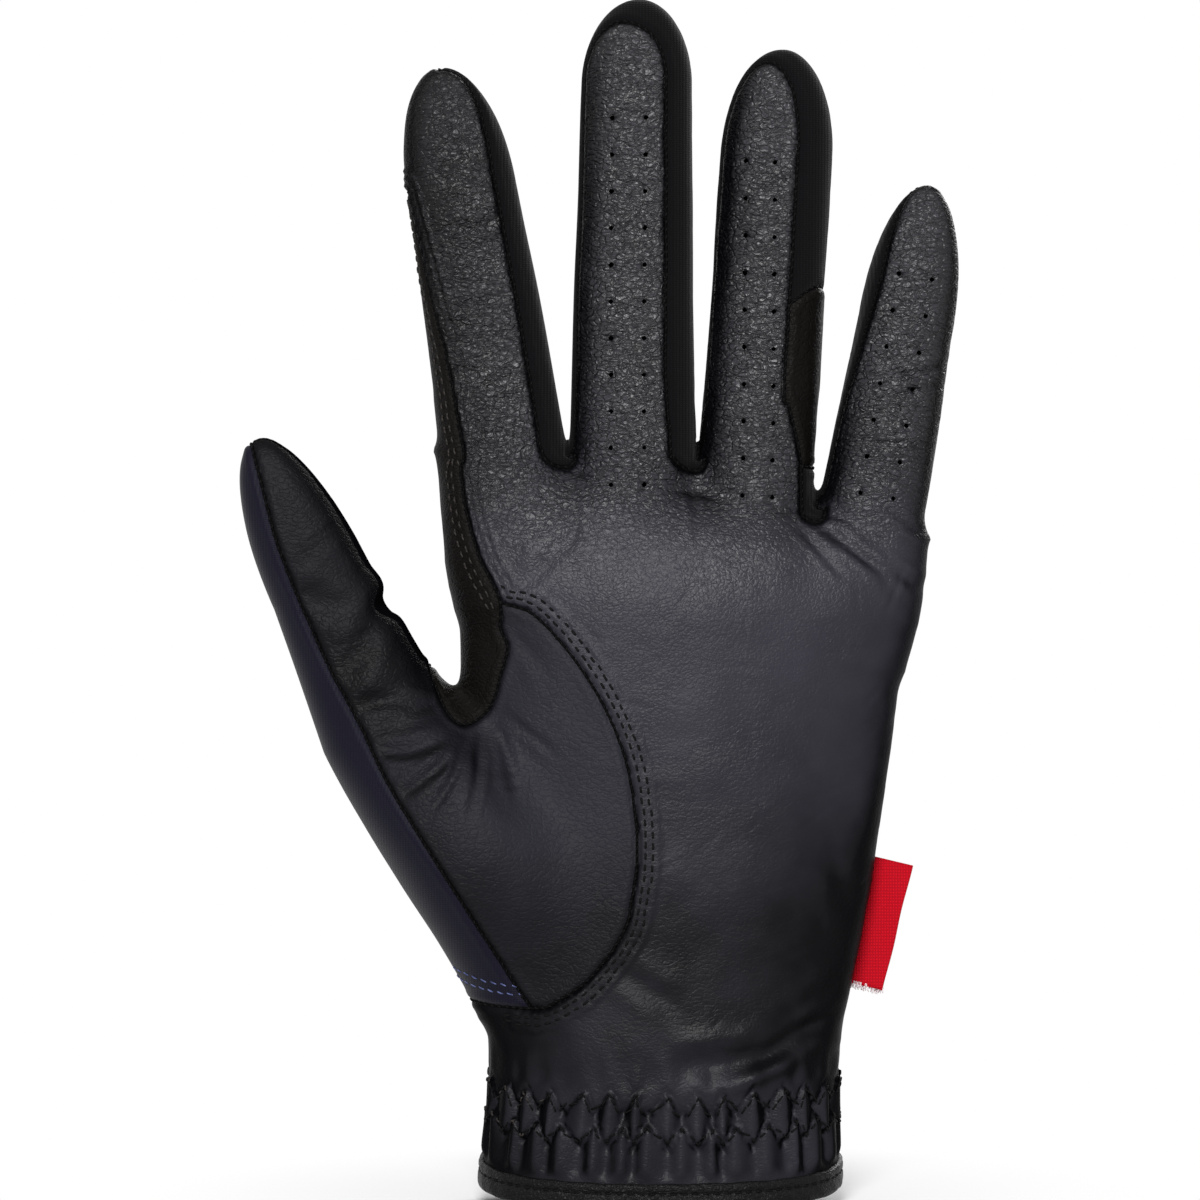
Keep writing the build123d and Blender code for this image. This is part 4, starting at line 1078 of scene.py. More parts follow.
# ---------------------------------------------------------------------------------------
# Panels
# Each panel is a thin skin with its own thickness. Leather panels are cut from hide, the
# side walls and the back from stretch cloth; all are sewn edge to edge along the seams.
# ---------------------------------------------------------------------------------------
# in mm, a little thicker than real glove leather
hide_thickness = 0.75
bodies = frame["record"]["behaviour"]["bodies"]
finishes = {"palm_leather": palm_hide, "thumb_inset_leather": thumb_hide, "thumb_inset_back": navy_cloth,
            "thumb_gusset": strip_hide, "back_panel": navy_cloth, "web_index_middle": black_knit,
            "web_middle_ring": black_knit, "web_ring_little": black_knit, "slit_binding": elastic_tape,
            "index_leather": palm_hide, "index_sidewall": black_knit, "index_outer_strip": strip_hide,
            "index_back": navy_cloth, "middle_leather": palm_hide, "middle_sidewall": black_knit,
            "middle_back": navy_cloth, "ring_leather": palm_hide, "ring_sidewall": black_knit,
            "ring_side_patch": strip_hide, "ring_back": navy_cloth, "little_leather": palm_hide,
            "little_sidewall": black_knit, "little_back": navy_cloth, "thumb_leather": thumb_hide,
            "thumb_back": navy_cloth, "thumb_crotch": strip_hide}
# flat_size gives no width or length smaller than this, in metres
narrowest = 0.0104


def flat_size(points, polys):
    """Flat width, length and area of a soft piece in metres, from one side of it."""
    corner = points[np.array(polys)]
    area = np.linalg.norm(np.cross(corner[:, 1] - corner[:, 0], corner[:, 2] - corner[:, 0]), axis=1) / 2
    middle_of = corner.mean(1)
    spread = middle_of - middle_of.mean(0)
    axis = np.linalg.svd((spread * np.sqrt(area)[:, None]).T @ (spread * np.sqrt(area)[:, None]))[0][:, 0]
    reach = (points @ axis).max() - (points @ axis).min()
    count = max(int(reach / 4), 1)
    slot = np.clip(((middle_of @ axis - (points @ axis).min()) / reach * count).astype(int), 0, count - 1)
    girth = np.bincount(slot, area, count) / (reach / count)
    wide, long = (max(size / 1000, narrowest + 0.0001) for size in (girth.max(), reach))
    return wide, long, area.sum() / 1e6


def body_holding(node):
    """The body a panel rides on."""
    if node == "thumb_crotch":
        return "thumb"
    return [b for b, members in bodies.items() if node in members][0]


def attach(obj, body):
    """Sewn to the palm it rides on it; on a digit its place is only baked into its mesh."""
    for d in digits:
        if d["body"] == body:
            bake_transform(obj)
            return
    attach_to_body(obj, body)


def make_piece(name, points, polys, finish, smooth=True, point_normals=None):
    """An object from points in mm. Given the skin's own normals, it keeps them, and how much each faces
    the front as "crown"."""
    mesh = bpy.data.meshes.new(name)
    mesh.from_pydata((points / 1000).tolist(), [], [list(map(int, f)) for f in polys])
    mesh.materials.append(finish)
    mesh.polygons.foreach_set("use_smooth", [smooth] * len(mesh.polygons))
    if point_normals is not None:
        mesh.normals_split_custom_set_from_vertices(point_normals.tolist())
        # crown, how much the skin faces the front, drives the painted light and shade of the hand's leather
        mesh.attributes.new("crown", "FLOAT", "POINT").data.foreach_set("value", -point_normals[:, 1])
    mesh.update()
    obj = bpy.data.objects.new(name, mesh)
    bpy.context.scene.collection.objects.link(obj)
    return obj


for i, name in enumerate(names):
    part = faces[panel == i]
    if not len(part):
        continue
    used, local = np.unique(part, return_inverse=True)
    local = local.reshape(-1, 3)
    outer = skin[used]
    out = normal[used]
    inner = outer - out * hide_thickness
    n = len(used)
    directed = np.concatenate([local[:, [0, 1]], local[:, [1, 2]], local[:, [2, 0]]])
    key = directed[:, 0] * n + directed[:, 1]
    mate = directed[:, 1] * n + directed[:, 0]
    edge = directed[~np.isin(key, mate)]
    first, second = edge.T
    wall = np.concatenate([outer[second], outer[first], inner[first], inner[second]])
    m = len(edge)
    facing = np.cross(outer[first] - outer[second], inner[first] - outer[first])
    facing /= np.maximum(np.linalg.norm(facing, axis=1), 1e-9)[:, None]
    rim = np.arange(m)[:, None] + np.array([0, m, 2 * m, 3 * m]) + 2 * n
    polys = [*local.tolist(), *(local[:, ::-1] + n).tolist(), *rim.tolist()]
    obj = make_piece("panel_" + name, np.concatenate([outer, inner, wall]), polys, finishes[name],
                     point_normals=np.concatenate([out, -out, facing, facing, facing, facing]))
    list(flat_size(outer, local))
    if name != "thumb_crotch":
        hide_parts(name)
    attach(obj, body_holding(name))

# ---------------------------------------------------------------------------------------
# Seams
# Panels meet in a narrow rolled seam closed by a row of tight stitches. The oval thumb
# piece has two rows of topstitching outside it, the strip two rows along its length.
# ---------------------------------------------------------------------------------------
surface = BVHTree.FromPolygons(skin.tolist(), faces.tolist())


def on_skin(points):
    """The nearest places on the panels' outer faces, and the skin's direction there."""
    place, facing = [], []
    for q in points:
        at, _, i, _ = surface.find_nearest(Vector(q))
        place.append(at)
        facing.append(normal[faces[i]].mean(0))
    facing = np.array(facing)
    return np.array(place), facing / np.linalg.norm(facing, axis=1)[:, None]


def even(points, step, rounds=4):
    """The same path with even steps, its small corners smoothed."""
    points = np.array(points, float)
    for _ in range(rounds):
        points[1:-1] = 0.25 * points[:-2] + 0.5 * points[1:-1] + 0.25 * points[2:]
    run = np.concatenate([[0], np.cumsum(np.linalg.norm(np.diff(points, axis=0), axis=1))])
    count = max(int(run[-1] / step), 2)
    at = np.linspace(0, run[-1], count + 1)
    return np.stack([np.interp(at, run, points[:, k]) for k in range(3)], 1)


def frame_along(points, facing):
    """The directions along a path, up from the skin and sideways."""
    run = np.gradient(points, axis=0)
    run /= np.maximum(np.linalg.norm(run, axis=1), 1e-9)[:, None]
    side = np.cross(run, facing)
    side /= np.maximum(np.linalg.norm(side, axis=1), 1e-9)[:, None]
    return run, np.cross(side, run), side


def tube_faces(count, sides):
    """The faces of a closed tube of rings: its wall, then its two ends."""
    faces_of = []
    for i in range(count - 1):
        for j in range(sides):
            k = (j + 1) % sides
            faces_of.append([i * sides + j, i * sides + k, (i + 1) * sides + k, (i + 1) * sides + j])
    return [*faces_of, list(range(sides))[::-1], [(count - 1) * sides + j for j in range(sides)]]


def cord_mesh(points, facing, radius, lift=0.0, sides=6):
    """A thin round cord along a path."""
    _, up, side = frame_along(points, facing)
    angle = np.arange(sides) * 2 * math.pi / sides
    ring = (points[:, None] + up[:, None] * (lift + radius * np.cos(angle)[None, :, None])
            + side[:, None] * (radius * np.sin(angle)[None, :, None]))
    return ring.reshape(-1, 3), tube_faces(len(points), sides)


def stitch_mesh(points, facing, length, radius, lift=0.05, slant=0.0):
    """One short stitch at every point of a path, its ends sunk into the cloth."""
    run, up, side = frame_along(points, facing)
    run, side = (run * math.cos(slant) + side * math.sin(slant),
                 side * math.cos(slant) - run * math.sin(slant))
    sides = 6
    angle = np.arange(sides) * 2 * math.pi / sides
    steps = ((-0.5, 0.45, -0.9), (-0.34, 1.0, -0.2), (0.0, 1.0, 0.1), (0.34, 1.0, -0.2), (0.5, 0.45, -0.9))
    rings = []
    for t, r, sink in steps:
        middle_line = points + run * (t * length) + up * (lift + sink * radius)
        rings.append(middle_line[:, None] + up[:, None] * (radius * r * np.cos(angle)[None, :, None])
                     + side[:, None] * (radius * r * np.sin(angle)[None, :, None]))
    made = np.stack(rings, 1).reshape(-1, 3)
    one = tube_faces(len(steps), sides)
    size = len(steps) * sides
    return made, [[v + size * n for v in f] for n in range(len(points)) for f in one]


def beside(points, facing, distance):
    """The path moved sideways over the skin."""
    return on_skin(points + frame_along(points, facing)[2] * distance)


# the edges of the skin where two panels meet, by the pair of panels
directed = np.concatenate([faces[:, [0, 1]], faces[:, [1, 2]], faces[:, [2, 0]]])
holder = np.tile(panel, 3)
key = directed.min(1) * len(skin) + directed.max(1)
order = np.argsort(key, kind="stable")
key, directed, holder = key[order], directed[order], holder[order]
twin = np.nonzero(key[:-1] == key[1:])[0]
differ = twin[holder[twin] != holder[twin + 1]]
seam_pairs = {}
for i in differ:
    a, b = sorted((int(holder[i]), int(holder[i + 1])))
    seam_pairs.setdefault((a, b), []).append((int(directed[i, 0]), int(directed[i, 1])))


def chains(links):
    """Joins loose edges end to end into paths of points."""
    near = {}
    for a, b in links:
        near.setdefault(a, []).append(b)
        near.setdefault(b, []).append(a)
    left = {frozenset(e) for e in links}
    paths = []
    starts = sorted(k for k in near if len(near[k]) != 2) + sorted(near)
    for start in starts:
        while True:
            path = [start]
            while True:
                following = [k for k in near[path[-1]] if frozenset((path[-1], k)) in left]
                if not following:
                    break
                left.discard(frozenset((path[-1], following[0])))
                path.append(following[0])
                if len(near[path[-1]]) != 2:
                    break
            if len(path) < 2:
                break
            paths.append(path)
    return paths


sewing = {}


def add_to(body, kind, made):
    """Keeps a mesh of cord or stitches for the one piece of its kind on a body."""
    sewing.setdefault((body, kind), []).append(made)


egg_paths = []
strip_paths = []
for (a, b), links in sorted(seam_pairs.items()):
    if group_of[a] == group_of[b]:
        continue
    first, second = body_holding(names[a]), body_holding(names[b])
    body = first if first == second else "palm"
    for path in chains(links):
        if len(path) < 6:
            continue
        points = even(skin[path], 0.7)
        if len(points) < 5:
            continue
        points, facing = on_skin(points)
        pair = {names[a], names[b]}
        if pair == {"palm_leather", "thumb_inset_leather"}:
            egg_paths.append((points, facing))
        if pair == {"index_outer_strip", "index_leather"}:
            strip_paths.append(("index_finger", points, facing))
        if pair == {"palm_leather", "thumb_gusset"}:
            strip_paths.append(("palm", points, facing))
        at_web = any(n.startswith("web") for n in pair)
        thick = 0.50 if at_web and "palm_leather" in pair else 0.30
        add_to(body, "piping", cord_mesh(points, facing, thick, 0.06))
        dots, facing = on_skin(even(points, 1.35, 0))
        add_to(body, "stitches", stitch_mesh(dots, facing, 0.85, 0.17, thick, 0.5))


def row_beside(points, facing, distance, wanted):
    """The path moved on to the side where a wanted panel lies. None for a short path or no such side."""
    if len(points) < 12:
        return None
    for sign in (1, -1):
        row = beside(points, facing, sign * distance)[0]
        if names[panel_of(row[len(row) // 3][None])[0]] in wanted:
            return row
    return None


for points, facing in egg_paths:
    for distance in (1.55, 2.9):
        row = row_beside(points, facing, distance, ("palm_leather",))
        if row is not None:
            dots, out = on_skin(even(row, 1.95, 2))
            add_to("palm", "stitches", stitch_mesh(dots, out, 1.40, 0.24, 0.02))
strip_panels = ("index_outer_strip", "thumb_gusset")
for body, points, facing in strip_paths:
    for distance in (1.7, 3.2):
        row = row_beside(points, facing, distance, strip_panels)
        if row is None:
            continue
        row = row[np.isin(panel_of(row), [names.index(n) for n in strip_panels])]
        if len(row) >= 6:
            dots, out = on_skin(even(row, 2.1, 2))
            add_to(body, "strip_stitches", stitch_mesh(dots, out, 1.4, 0.18, 0.05))

# two rows of light blue topstitching hold the heel of the navy panel
heel_rows = ([(-26.0, 36.4), (-31.5, 37.2), (-37.0, 39.2), (-41.0, 41.8)],
             [(-24.8, 34.9), (-29.0, 35.2), (-34.0, 36.4), (-39.0, 39.0)])
for heel_row in heel_rows:
    flat = np.array([(x, -30.0, z) for x, z in heel_row])
    hits = [surface.ray_cast(Vector(q), Vector((0, 1, 0)))[0] for q in even(flat, 1.0, 0)]
    row = [hit for hit in hits if hit is not None]
    dots, out = on_skin(even(row, 1.8, 1))
    add_to("palm", "blue_stitches", stitch_mesh(dots, out, 1.25, 0.14, 0.06, 0.25))

# ---------------------------------------------------------------------------------------
# Cuff
# A folded leather binding closes the raw edge of the wrist. Two elastics lie inside, held
# by three-step zigzag stitching that gathers the leather.
# ---------------------------------------------------------------------------------------
cuff_round = arc_length[-1]


def cuff_point(c, h, out=0.0):
    """A point of the cuff, from its distance round the wrist, height above the hem and how far out it is."""
    c = np.asarray(c, float) % cuff_round
    angle = np.interp(c, arc_length, arc_angle)
    x = wrist_x * np.sign(np.cos(angle)) * np.abs(np.cos(angle)) ** (2 / roundness)
    y = wrist_y * np.sign(np.sin(angle)) * np.abs(np.sin(angle)) ** (2 / roundness)
    nx = np.sign(x) * np.abs(x / wrist_x) ** (roundness - 1) / wrist_x
    ny = np.sign(y) * np.abs(y / wrist_y) ** (roundness - 1) / wrist_y
    size = np.hypot(nx, ny)
    x, y = x + nx / size * out, y + ny / size * out
    z = (h + y * math.sin(hem_tilt)) / math.cos(hem_tilt)
    return np.stack([x + palm_shift * np.clip(z, 0, 100) / 100, y, z], -1)


for row in (0, 1):
    corners = np.arange(0, warp_to[-1] - 30, zigzag_pitch / 2)
    c = np.interp(corners, warp_to, warp_from)
    h = np.array([float(zigzag_line(np.array([x]), row)[0]) for x in c])
    for i in range(len(c) - 1):
        if float(cuff_point(c[i], h[i])[1]) > 3.0:
            continue
        share = np.linspace(0, 1, 7)
        leg = cuff_point(c[i] + (c[i + 1] - c[i]) * share, h[i] + (h[i + 1] - h[i]) * share, 0.5)
        place, out = on_skin(leg)
        for k in (0, 2, 4):
            length = float(np.linalg.norm(place[k + 2] - place[k])) * 0.85
            points, polys = stitch_mesh(place[k:k + 3], out[k:k + 3], length, 0.17, 0.12)
            # of the three stitches, 30 points each, only the middle one is kept
            middle_one = (points[30:60], [[v - 30 for v in f] for f in polys if min(f) >= 30 and max(f) < 60])
            pale = chance.random() < 0.5 * float(ease(np.array([-place[k][0]]), 14.0, 30.0)[0])
            add_to("palm", "pale_stitches" if pale else "stitches", middle_one)

# the hem's roll starts and ends at the slit, at these places across the back
slit_low, slit_top = 3.0, 6.0
span = np.linspace(0, 1, 261)


def back_place(x):
    """Distance round the wrist of a point on the back of the hem."""
    y = wrist_y * (1 - (abs(x) / wrist_x) ** roundness) ** (1 / roundness)
    return float(np.interp(math.atan2(y, x), arc_place, arc_length))


start, end = back_place(slit_low), back_place(slit_top) + cuff_round
round_hem = start + (end - start) * span
# the roll's section: how far out each point lies and how high above the hem
profile = [(0.10, 4.75), (0.52, 4.62), (0.74, 4.20), (0.74, 3.55), (0.58, 3.20), (0.50, 3.00), (0.60, 2.75),
           (0.80, 2.40), (0.86, 1.60), (0.84, 0.90), (0.66, 0.35), (0.25, 0.02), (-0.35, -0.05),
           (-1.00, 0.10), (-1.40, 0.50), (-1.50, 1.50), (-1.48, 3.60), (-1.30, 4.25), (-0.95, 4.40),
           (-0.40, 4.60)]
rings = [cuff_point(round_hem, h + 0.06 * np.sin(round_hem * 0.9), out + 0.05 * np.sin(round_hem * 1.7 + h))
         for out, h in profile]
rings = np.stack(rings, 1)
polys = [f[::-1] for f in tube_faces(*rings.shape[:2])]
hem = make_piece("hem_binding_roll", rings.reshape(-1, 3), polys, binding_hide)
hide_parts("hem_binding")
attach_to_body(hem, "palm")
# a row of stitches along the outside of the roll, 3 mm above the hem
row = cuff_point(round_hem[2:-2], 3.0, 0.53)
away = row - cuff_point(round_hem[2:-2], 3.0, -1.0)
dots = even(row, 1.9, 0)
spread = np.linspace(0, 1, len(dots))
away = np.stack([np.interp(spread, np.linspace(0, 1, len(away)), away[:, k]) for k in range(3)], 1)
add_to("palm", "stitches", stitch_mesh(dots, away, 1.35, 0.18, 0.05))

for node, h in (("cuff_elastic_lower", zigzag_rows[0]), ("cuff_elastic_upper", zigzag_rows[1])):
    c = np.linspace(1.0, cuff_round / 2 - 1.0, 120)
    rings = np.stack([cuff_point(c, h + dh, out + 0.12 * np.sin(c * 1.2)) for out, dh in
                      ((-2.2, 2.6), (-2.2, -2.6), (-2.9, -2.6), (-2.9, 2.6))], 1)
    band = make_piece(node + "_tape", rings.reshape(-1, 3), tube_faces(len(c), 4), elastic_tape, smooth=False)
    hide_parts(node)
    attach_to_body(band, "palm")


def joined(meshes):
    """Several meshes' points and faces as one mesh's."""
    together, start = [], 0
    for points, polys in meshes:
        together += [[v + start for v in f] for f in polys]
        start += len(points)
    return np.concatenate([points for points, polys in meshes]), together


sewing_finishes = {"piping": seam_cord, "stitches": black_thread, "strip_stitches": grey_thread,
                   "blue_stitches": blue_thread, "pale_stitches": grey_thread}
for (body, kind), made in sorted(sewing.items()):
    attach(make_piece(body + "_" + kind, *joined(made), sewing_finishes[kind]), body)

# ---------------------------------------------------------------------------------------
# Closure
# A leather tab is sewn to the back of the wrist beside the slit. It folds over the slit,
# and hooks under it hold on to a patch of loops on the other side.
# ---------------------------------------------------------------------------------------
tab_hide = goat_leather("black_tab_leather", "#0a0a0c", "#121214", 0.42, 0.12, 0.8, 0.3)
hinge_x = hinges["closure_tab_body"]["pos_m"][0] * 1000


def on_back(x, z, lift):
    """A point over the back of the hand at x and z, lifted off the cloth."""
    points = np.stack([x, np.full(len(x), 19.0), z], 1)
    for _ in range(6):
        points[:, 1] -= palm_field(points)
    facing = slope_of(palm_field, points)
    facing /= np.linalg.norm(facing, axis=1)[:, None]
    return points + facing * np.asarray(lift)[:, None]


def sewn_patch(name, left, right, low, high, corner, under, over, finish, square_left=False):
    """A flat piece with rounded corners that follows the back of the hand, its edge turned down and a
    groove along it where it is sewn."""
    bpy.ops.object.select_all(action="DESELECT")
    bpy.ops.mesh.primitive_grid_add(x_subdivisions=56, y_subdivisions=44, size=2)
    obj = bpy.context.object
    obj.name = obj.data.name = name
    flat = np.array([v.co for v in obj.data.vertices])
    wide, tall = (right - left) / 2, (high - low) / 2
    x, z = flat[:, 0] * wide, flat[:, 1] * tall
    qx, qz = np.abs(x) - (wide - corner), np.abs(z) - (tall - corner)
    turn = (qx > 0) & (qz > 0) & ((x > 0) | (not square_left))
    shrink = np.where(turn, np.maximum(qx, qz) / np.maximum(np.hypot(qx, qz), 1e-9), 1.0)
    x = np.where(turn, np.sign(x) * (wide - corner + qx * shrink), x)
    z = np.where(turn, np.sign(z) * (tall - corner + qz * shrink), z)
    border = np.minimum(wide * (1 - np.abs(flat[:, 0])), tall * (1 - np.abs(flat[:, 1])))
    lift = over - 0.30 * (1 - ease(border, 0.0, 0.9)) - 0.16 * np.exp(-((border - 1.9) / 0.4) ** 2)
    lift = lift + 0.10 * lumps(np.stack([x, z, 0 * x], 1), 9.0, 21)
    place = on_back(x + (left + right) / 2, z + (low + high) / 2, lift)
    for v, q in zip(obj.data.vertices, place / 1000):
        v.co = q
    obj.data.update()
    if obj.data.polygons[len(obj.data.polygons) // 2].normal.y < 0:
        obj.data.flip_normals()
    thick = obj.modifiers.new("thickness", "SOLIDIFY")
    thick.thickness = (over - under) / 1000
    thick.offset = -1.0
    round_edge = obj.modifiers.new("soft_edge", "BEVEL")
    round_edge.width = 0.00018
    round_edge.segments = 2
    round_edge.limit_method = "ANGLE"
    bpy.context.view_layer.objects.active = obj
    for m in ("thickness", "soft_edge"):
        bpy.ops.object.modifier_apply(modifier=m)
    for poly in obj.data.polygons:
        poly.use_smooth = True
    obj.data.materials.append(finish)
    return obj


def edge_row(left, right, low, high, corner, inside, over, open_left=False):
    """Stitches a little inside the edge of a patch."""
    left, right, low, high = left + inside, right - inside, low + inside, high - inside
    corner = max(corner - inside, 0.3)
    path = []
    for cx, cz, a0 in ((right - corner, low + corner, -90), (right - corner, high - corner, 0),
                       (left + corner, high - corner, 90), (left + corner, low + corner, 180)):
        for a in np.radians(np.linspace(a0, a0 + 90, 8)):
            path.append((cx + corner * math.cos(a), 0.0, cz + corner * math.sin(a)))
    if open_left:
        path = [(left - inside, 0.0, low), *path[:16], (left - inside, 0.0, high)]
    else:
        path.append(path[0])
    path = even(path, 1.9, 0)
    place = on_back(path[:, 0], path[:, 2], np.full(len(path), over))
    facing = place - on_back(path[:, 0], path[:, 2], np.full(len(path), over - 1.0))
    return stitch_mesh(place, facing, 1.3, 0.18, 0.04)


# hooks: a stiff open black pile. Loops: a denser one with a soft bloom
hook_tape = knit("hook_tape", "#09090a", "#1b1b1d", 1.6, 0.7, 0.0, 0.0005)
loop_tape = knit("loop_tape", "#0c0c0e", "#222226", 1.1, 0.98, 0.5, 0.0005)
tab_low, tab_high = 1.40, 2.40
tab_right, tab_foot, tab_head = 26.0, 12.0, 39.0
base_left, base_right = hinge_x - 6.65, hinge_x - 0.15
tab = sewn_patch("tab_of_closure", hinge_x + 0.15, tab_right, tab_foot, tab_head, 8.0, tab_low, tab_high,
                 tab_hide, square_left=True)
tape_place = (10.5, 23.0, 15.0, 36.0, 2.0)
hook = sewn_patch("hooks_under_tab", *tape_place, 0.92, 1.38, hook_tape)
loops = sewn_patch("loops_on_wrist", *tape_place, 0.05, 0.62, loop_tape)
base = sewn_patch("tab_base", base_left, base_right, tab_foot, tab_head, 1.2, 0.10, tab_high, tab_hide)
for piece, node, slot in ((tab, "closure_tab", "tab_leather"), (hook, "hook_patch", "hook_loop"),
                          (loops, "loop_patch", "hook_loop"), (base, "tab_root", "tab_leather")):
    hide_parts(node)
made = edge_row(hinge_x + 0.15, tab_right, tab_foot, tab_head, 8.0, 1.9, tab_high - 0.1, open_left=True)
tab_rows = make_piece("tab_stitches", *made, black_thread)
made = edge_row(base_left, base_right, tab_foot, tab_head, 1.2, 1.9, tab_high - 0.1)
base_rows = make_piece("tab_base_stitches", *made, black_thread)
for piece in (loops, base, base_rows):
    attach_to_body(piece, "palm")
for piece in (tab, hook, tab_rows):
    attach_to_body(piece, "closure_tab_body")

# ---------------------------------------------------------------------------------------
# Side label
# A short woven tape, folded double and caught in the side seam. It is left bare. Its cut
# lower end frays into pale weft threads.
# ---------------------------------------------------------------------------------------
# woven polyester tape: crossing threads, so the eye sees a matt, even, saturated red
red_tape, tree, shader, place = new_finish("red_woven_tape")
weave = [add_node(tree, "TexWave", {"Vector": place, "Scale": 314.0 / pitch, "Distortion": 0.4},
                  bands_direction=way).outputs["Fac"] for way, pitch in (("Z", 0.55), ("X", 0.5))]
weave = add_node(tree, "Math", {0: weave[0], 1: weave[1]}, operation="MULTIPLY")
tint = add_node(tree, "Mix", {"Factor": weave, "A": srgb("#9c0014"), "B": srgb("#c8081c")}, data_type="RGBA")
bump = add_node(tree, "Bump", {"Height": weave, "Distance": 0.00012, "Strength": 0.6})
wire(tree, shader, {"Base Color": tint, "Normal": bump, "Roughness": 0.75, "Specular IOR Level": 0.1})
# the tape's weft where it frays: a dry pinkish white
pale_thread = thread_finish("pale_weft_thread", "#d8c4c8", "#f2e6e8")

low_corner, high_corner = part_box("label_tab")
middle_label = np.array([(low_corner[k] + high_corner[k]) * 500 for k in range(3)])
# the tape leans with the side of the wrist; half its length, and how far it stands out from the seam
tilt = math.radians(13.5)
down_label = np.array([-math.sin(tilt), 0, -math.cos(tilt)])
out_label = np.array([math.cos(tilt), 0, -math.sin(tilt)])
half_long, reach_label = 11.6, 3.9
leg = np.linspace(-reach_label - 0.6, reach_label - 0.4, 12)
turn = np.radians(np.linspace(-80, 80, 7))
section = [*((k, -0.30) for k in leg),
           *((reach_label - 0.4 + 0.40 * math.cos(a), 0.30 * math.sin(a)) for a in turn),
           *((k, 0.30) for k in leg[::-1])]
rows = []
for t in np.linspace(-1, 1, 34):
    wavy = 0.14 * math.sin(t * 4.2 + 0.5)
    opened = 1.0 + 0.5 * max(t, 0) ** 4
    rows.append([middle_label + down_label * (t * half_long)
                 + out_label * (k + 0.10 * math.sin(t * 5) * (k > 0))
                 + np.array([0, y * opened + wavy * max(k, 0) / 3, 0]) for k, y in section])
rows = np.array(rows)
count, sides = rows.shape[:2]
polys = [[i * sides + j, i * sides + j + 1, (i + 1) * sides + j + 1, (i + 1) * sides + j]
         for i in range(count - 1) for j in range(sides - 1)]
label = make_piece("side_label_tape", rows.reshape(-1, 3), polys, red_tape)
if label.data.polygons[5].normal.y > 0:
    label.data.flip_normals()
thick = label.modifiers.new("thickness", "SOLIDIFY")
thick.thickness = 0.00022
thick.offset = -1.0
bpy.ops.object.select_all(action="DESELECT")
bpy.context.view_layer.objects.active = label
bpy.ops.object.modifier_apply(modifier="thickness")
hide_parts("label_tab")
fray = []
for k in range(64):
    across = chance.uniform(-reach_label + 0.6, reach_label)
    ply = chance.choice([-0.42, 0.42])
    foot = middle_label + down_label * (half_long - 0.5) + out_label * across + np.array([0, ply, 0])
    lean_x, lean_y, size = chance.normal(0, 0.35), chance.normal(0, 0.3), chance.uniform(0.6, 1.5)
    path = np.array([foot + down_label * (t * size) + out_label * lean_x * t * t * size
                     + np.array([0, lean_y * t * t * size, 0]) for t in (0, 0.4, 0.75, 1.0)])
    fray.append(cord_mesh(path, np.tile([0.0, -1.0, 0.01], (4, 1)), 0.09, 0.0, 4))
fringe = make_piece("side_label_fray", *joined(fray), pale_thread)
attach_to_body(fringe, "palm")
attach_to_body(label, "palm")

# ---------------------------------------------------------------------------------------
# Camera, light and floor
# A plain white studio: one soft lamp above the palm side, one behind, and a pale floor that
# fades into the white surround and keeps the soft shadow.
# ---------------------------------------------------------------------------------------
camera_data = bpy.data.cameras.new("camera")
camera_data.sensor_width = 36.0
# the camera stands 900 mm away, and takes in 216 mm there
camera_data.lens = 36.0 * 900 / 216.0
camera = bpy.data.objects.new("camera", camera_data)
camera.location = (-0.0108, -0.900, 0.1049)
camera.rotation_euler = (math.radians(90), 0, 0)
bpy.context.scene.collection.objects.link(camera)
bpy.context.scene.camera = camera
bpy.context.scene.view_settings.view_transform = "Standard"


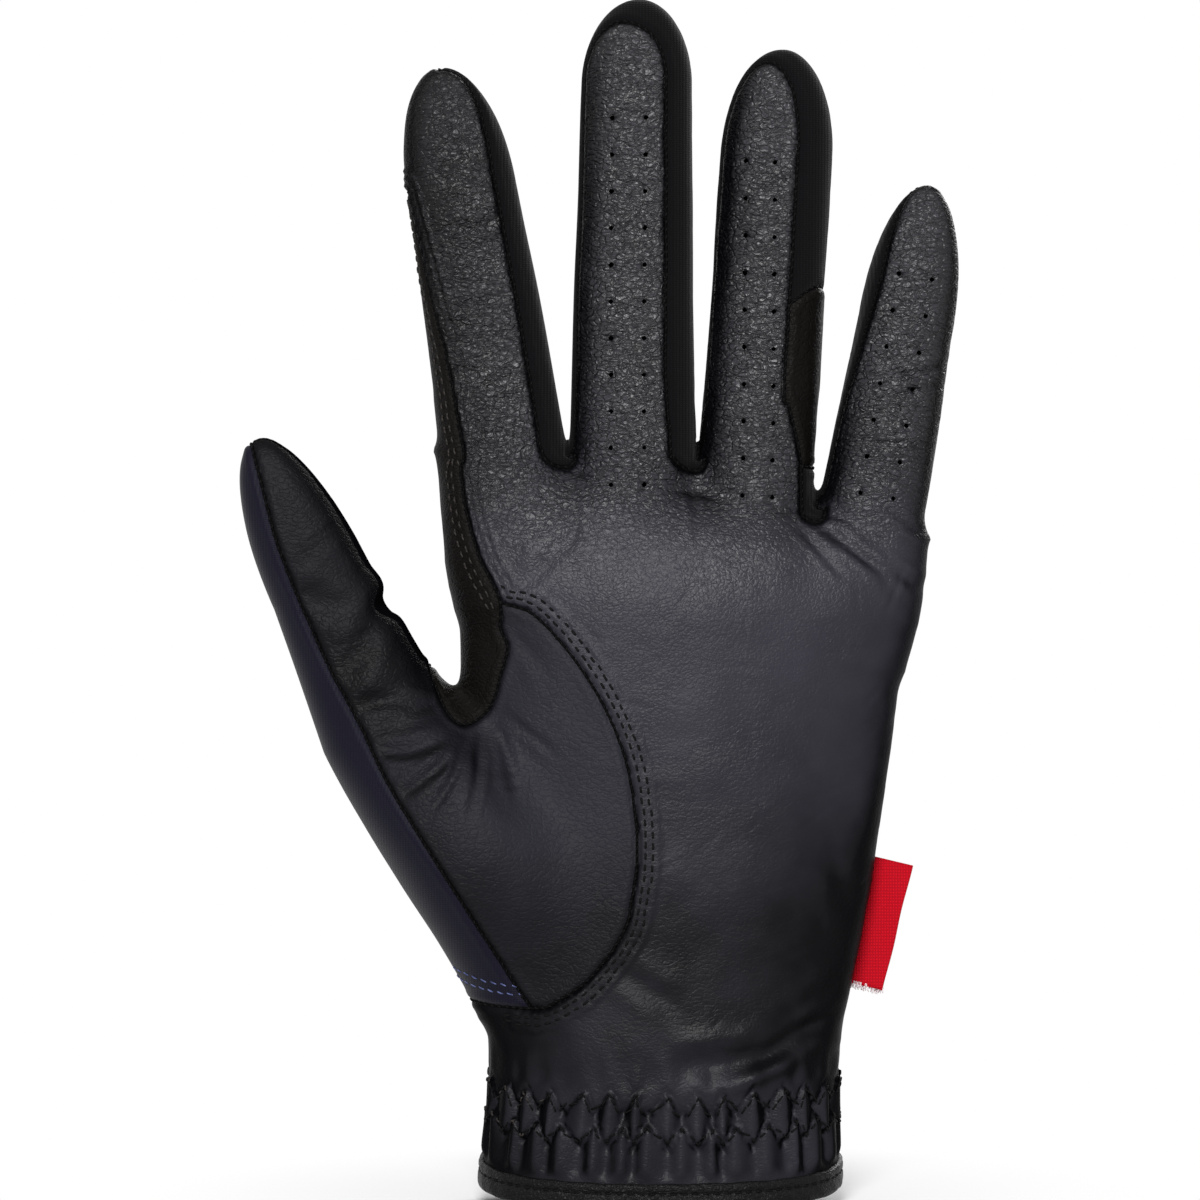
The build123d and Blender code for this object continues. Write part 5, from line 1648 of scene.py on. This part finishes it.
def seen_rays(tree):
    """One for the rays that see the white surround: the camera's, and mirrored and clear ones."""
    path = add_node(tree, "LightPath", {})
    seen = path.outputs["Is Camera Ray"]
    for kind in ("Is Glossy Ray", "Is Transmission Ray"):
        seen = add_node(tree, "Math", {0: seen, 1: path.outputs[kind]}, operation="MAXIMUM")
    return seen


world = bpy.data.worlds.new("studio")
world.use_nodes = True
tree = world.node_tree
level = add_node(tree, "MapRange", {"Value": seen_rays(tree), "To Min": 0.25, "To Max": 1.0})
wire(tree, tree.nodes["Background"], {"Color": (1, 1, 1, 1), "Strength": level})
bpy.context.scene.world = world


def soft_light(name, place, aim, size, power):
    """A round soft lamp, in metres and watts."""
    lamp = bpy.data.lights.new(name, "AREA")
    lamp.shape = "DISK"
    lamp.size = size
    lamp.energy = power
    obj = bpy.data.objects.new(name, lamp)
    obj.location = place
    obj.rotation_euler = (Vector(aim) - Vector(place)).to_track_quat("-Z", "Y").to_euler()
    bpy.context.scene.collection.objects.link(obj)


soft_light("key_light", (-0.06, -0.78, 0.42), (0, 0, 0.15), 0.26, 8.0)
soft_light("back_light", (0.35, 0.70, 0.55), (0, 0, 0.10), 0.50, 5.0)

floor_paper, tree, shader, place = new_finish("pale_floor_paper")
wire(tree, shader, {"Base Color": (0.9, 0.9, 0.9, 1.0), "Roughness": 0.9})
distance = add_node(tree, "VectorMath", {0: place}, operation="LENGTH")
away = add_node(tree, "MapRange", {"Value": distance, "From Min": 0.03, "From Max": 0.10},
                interpolation_type="SMOOTHSTEP")
share = add_node(tree, "Math", {0: away, 1: seen_rays(tree)}, operation="MULTIPLY")
white = add_node(tree, "Emission", {"Color": (1, 1, 1, 1), "Strength": 1.0})
mixed = add_node(tree, "MixShader", {0: share, 1: shader, 2: white})
wire(tree, tree.nodes["Material Output"], {"Surface": mixed})
bpy.ops.object.select_all(action="DESELECT")
bpy.ops.mesh.primitive_plane_add(size=2.4, location=(0, 0, -0.0034))
floor = bpy.context.object
floor.name = "floor"
floor.data.materials.append(floor_paper)
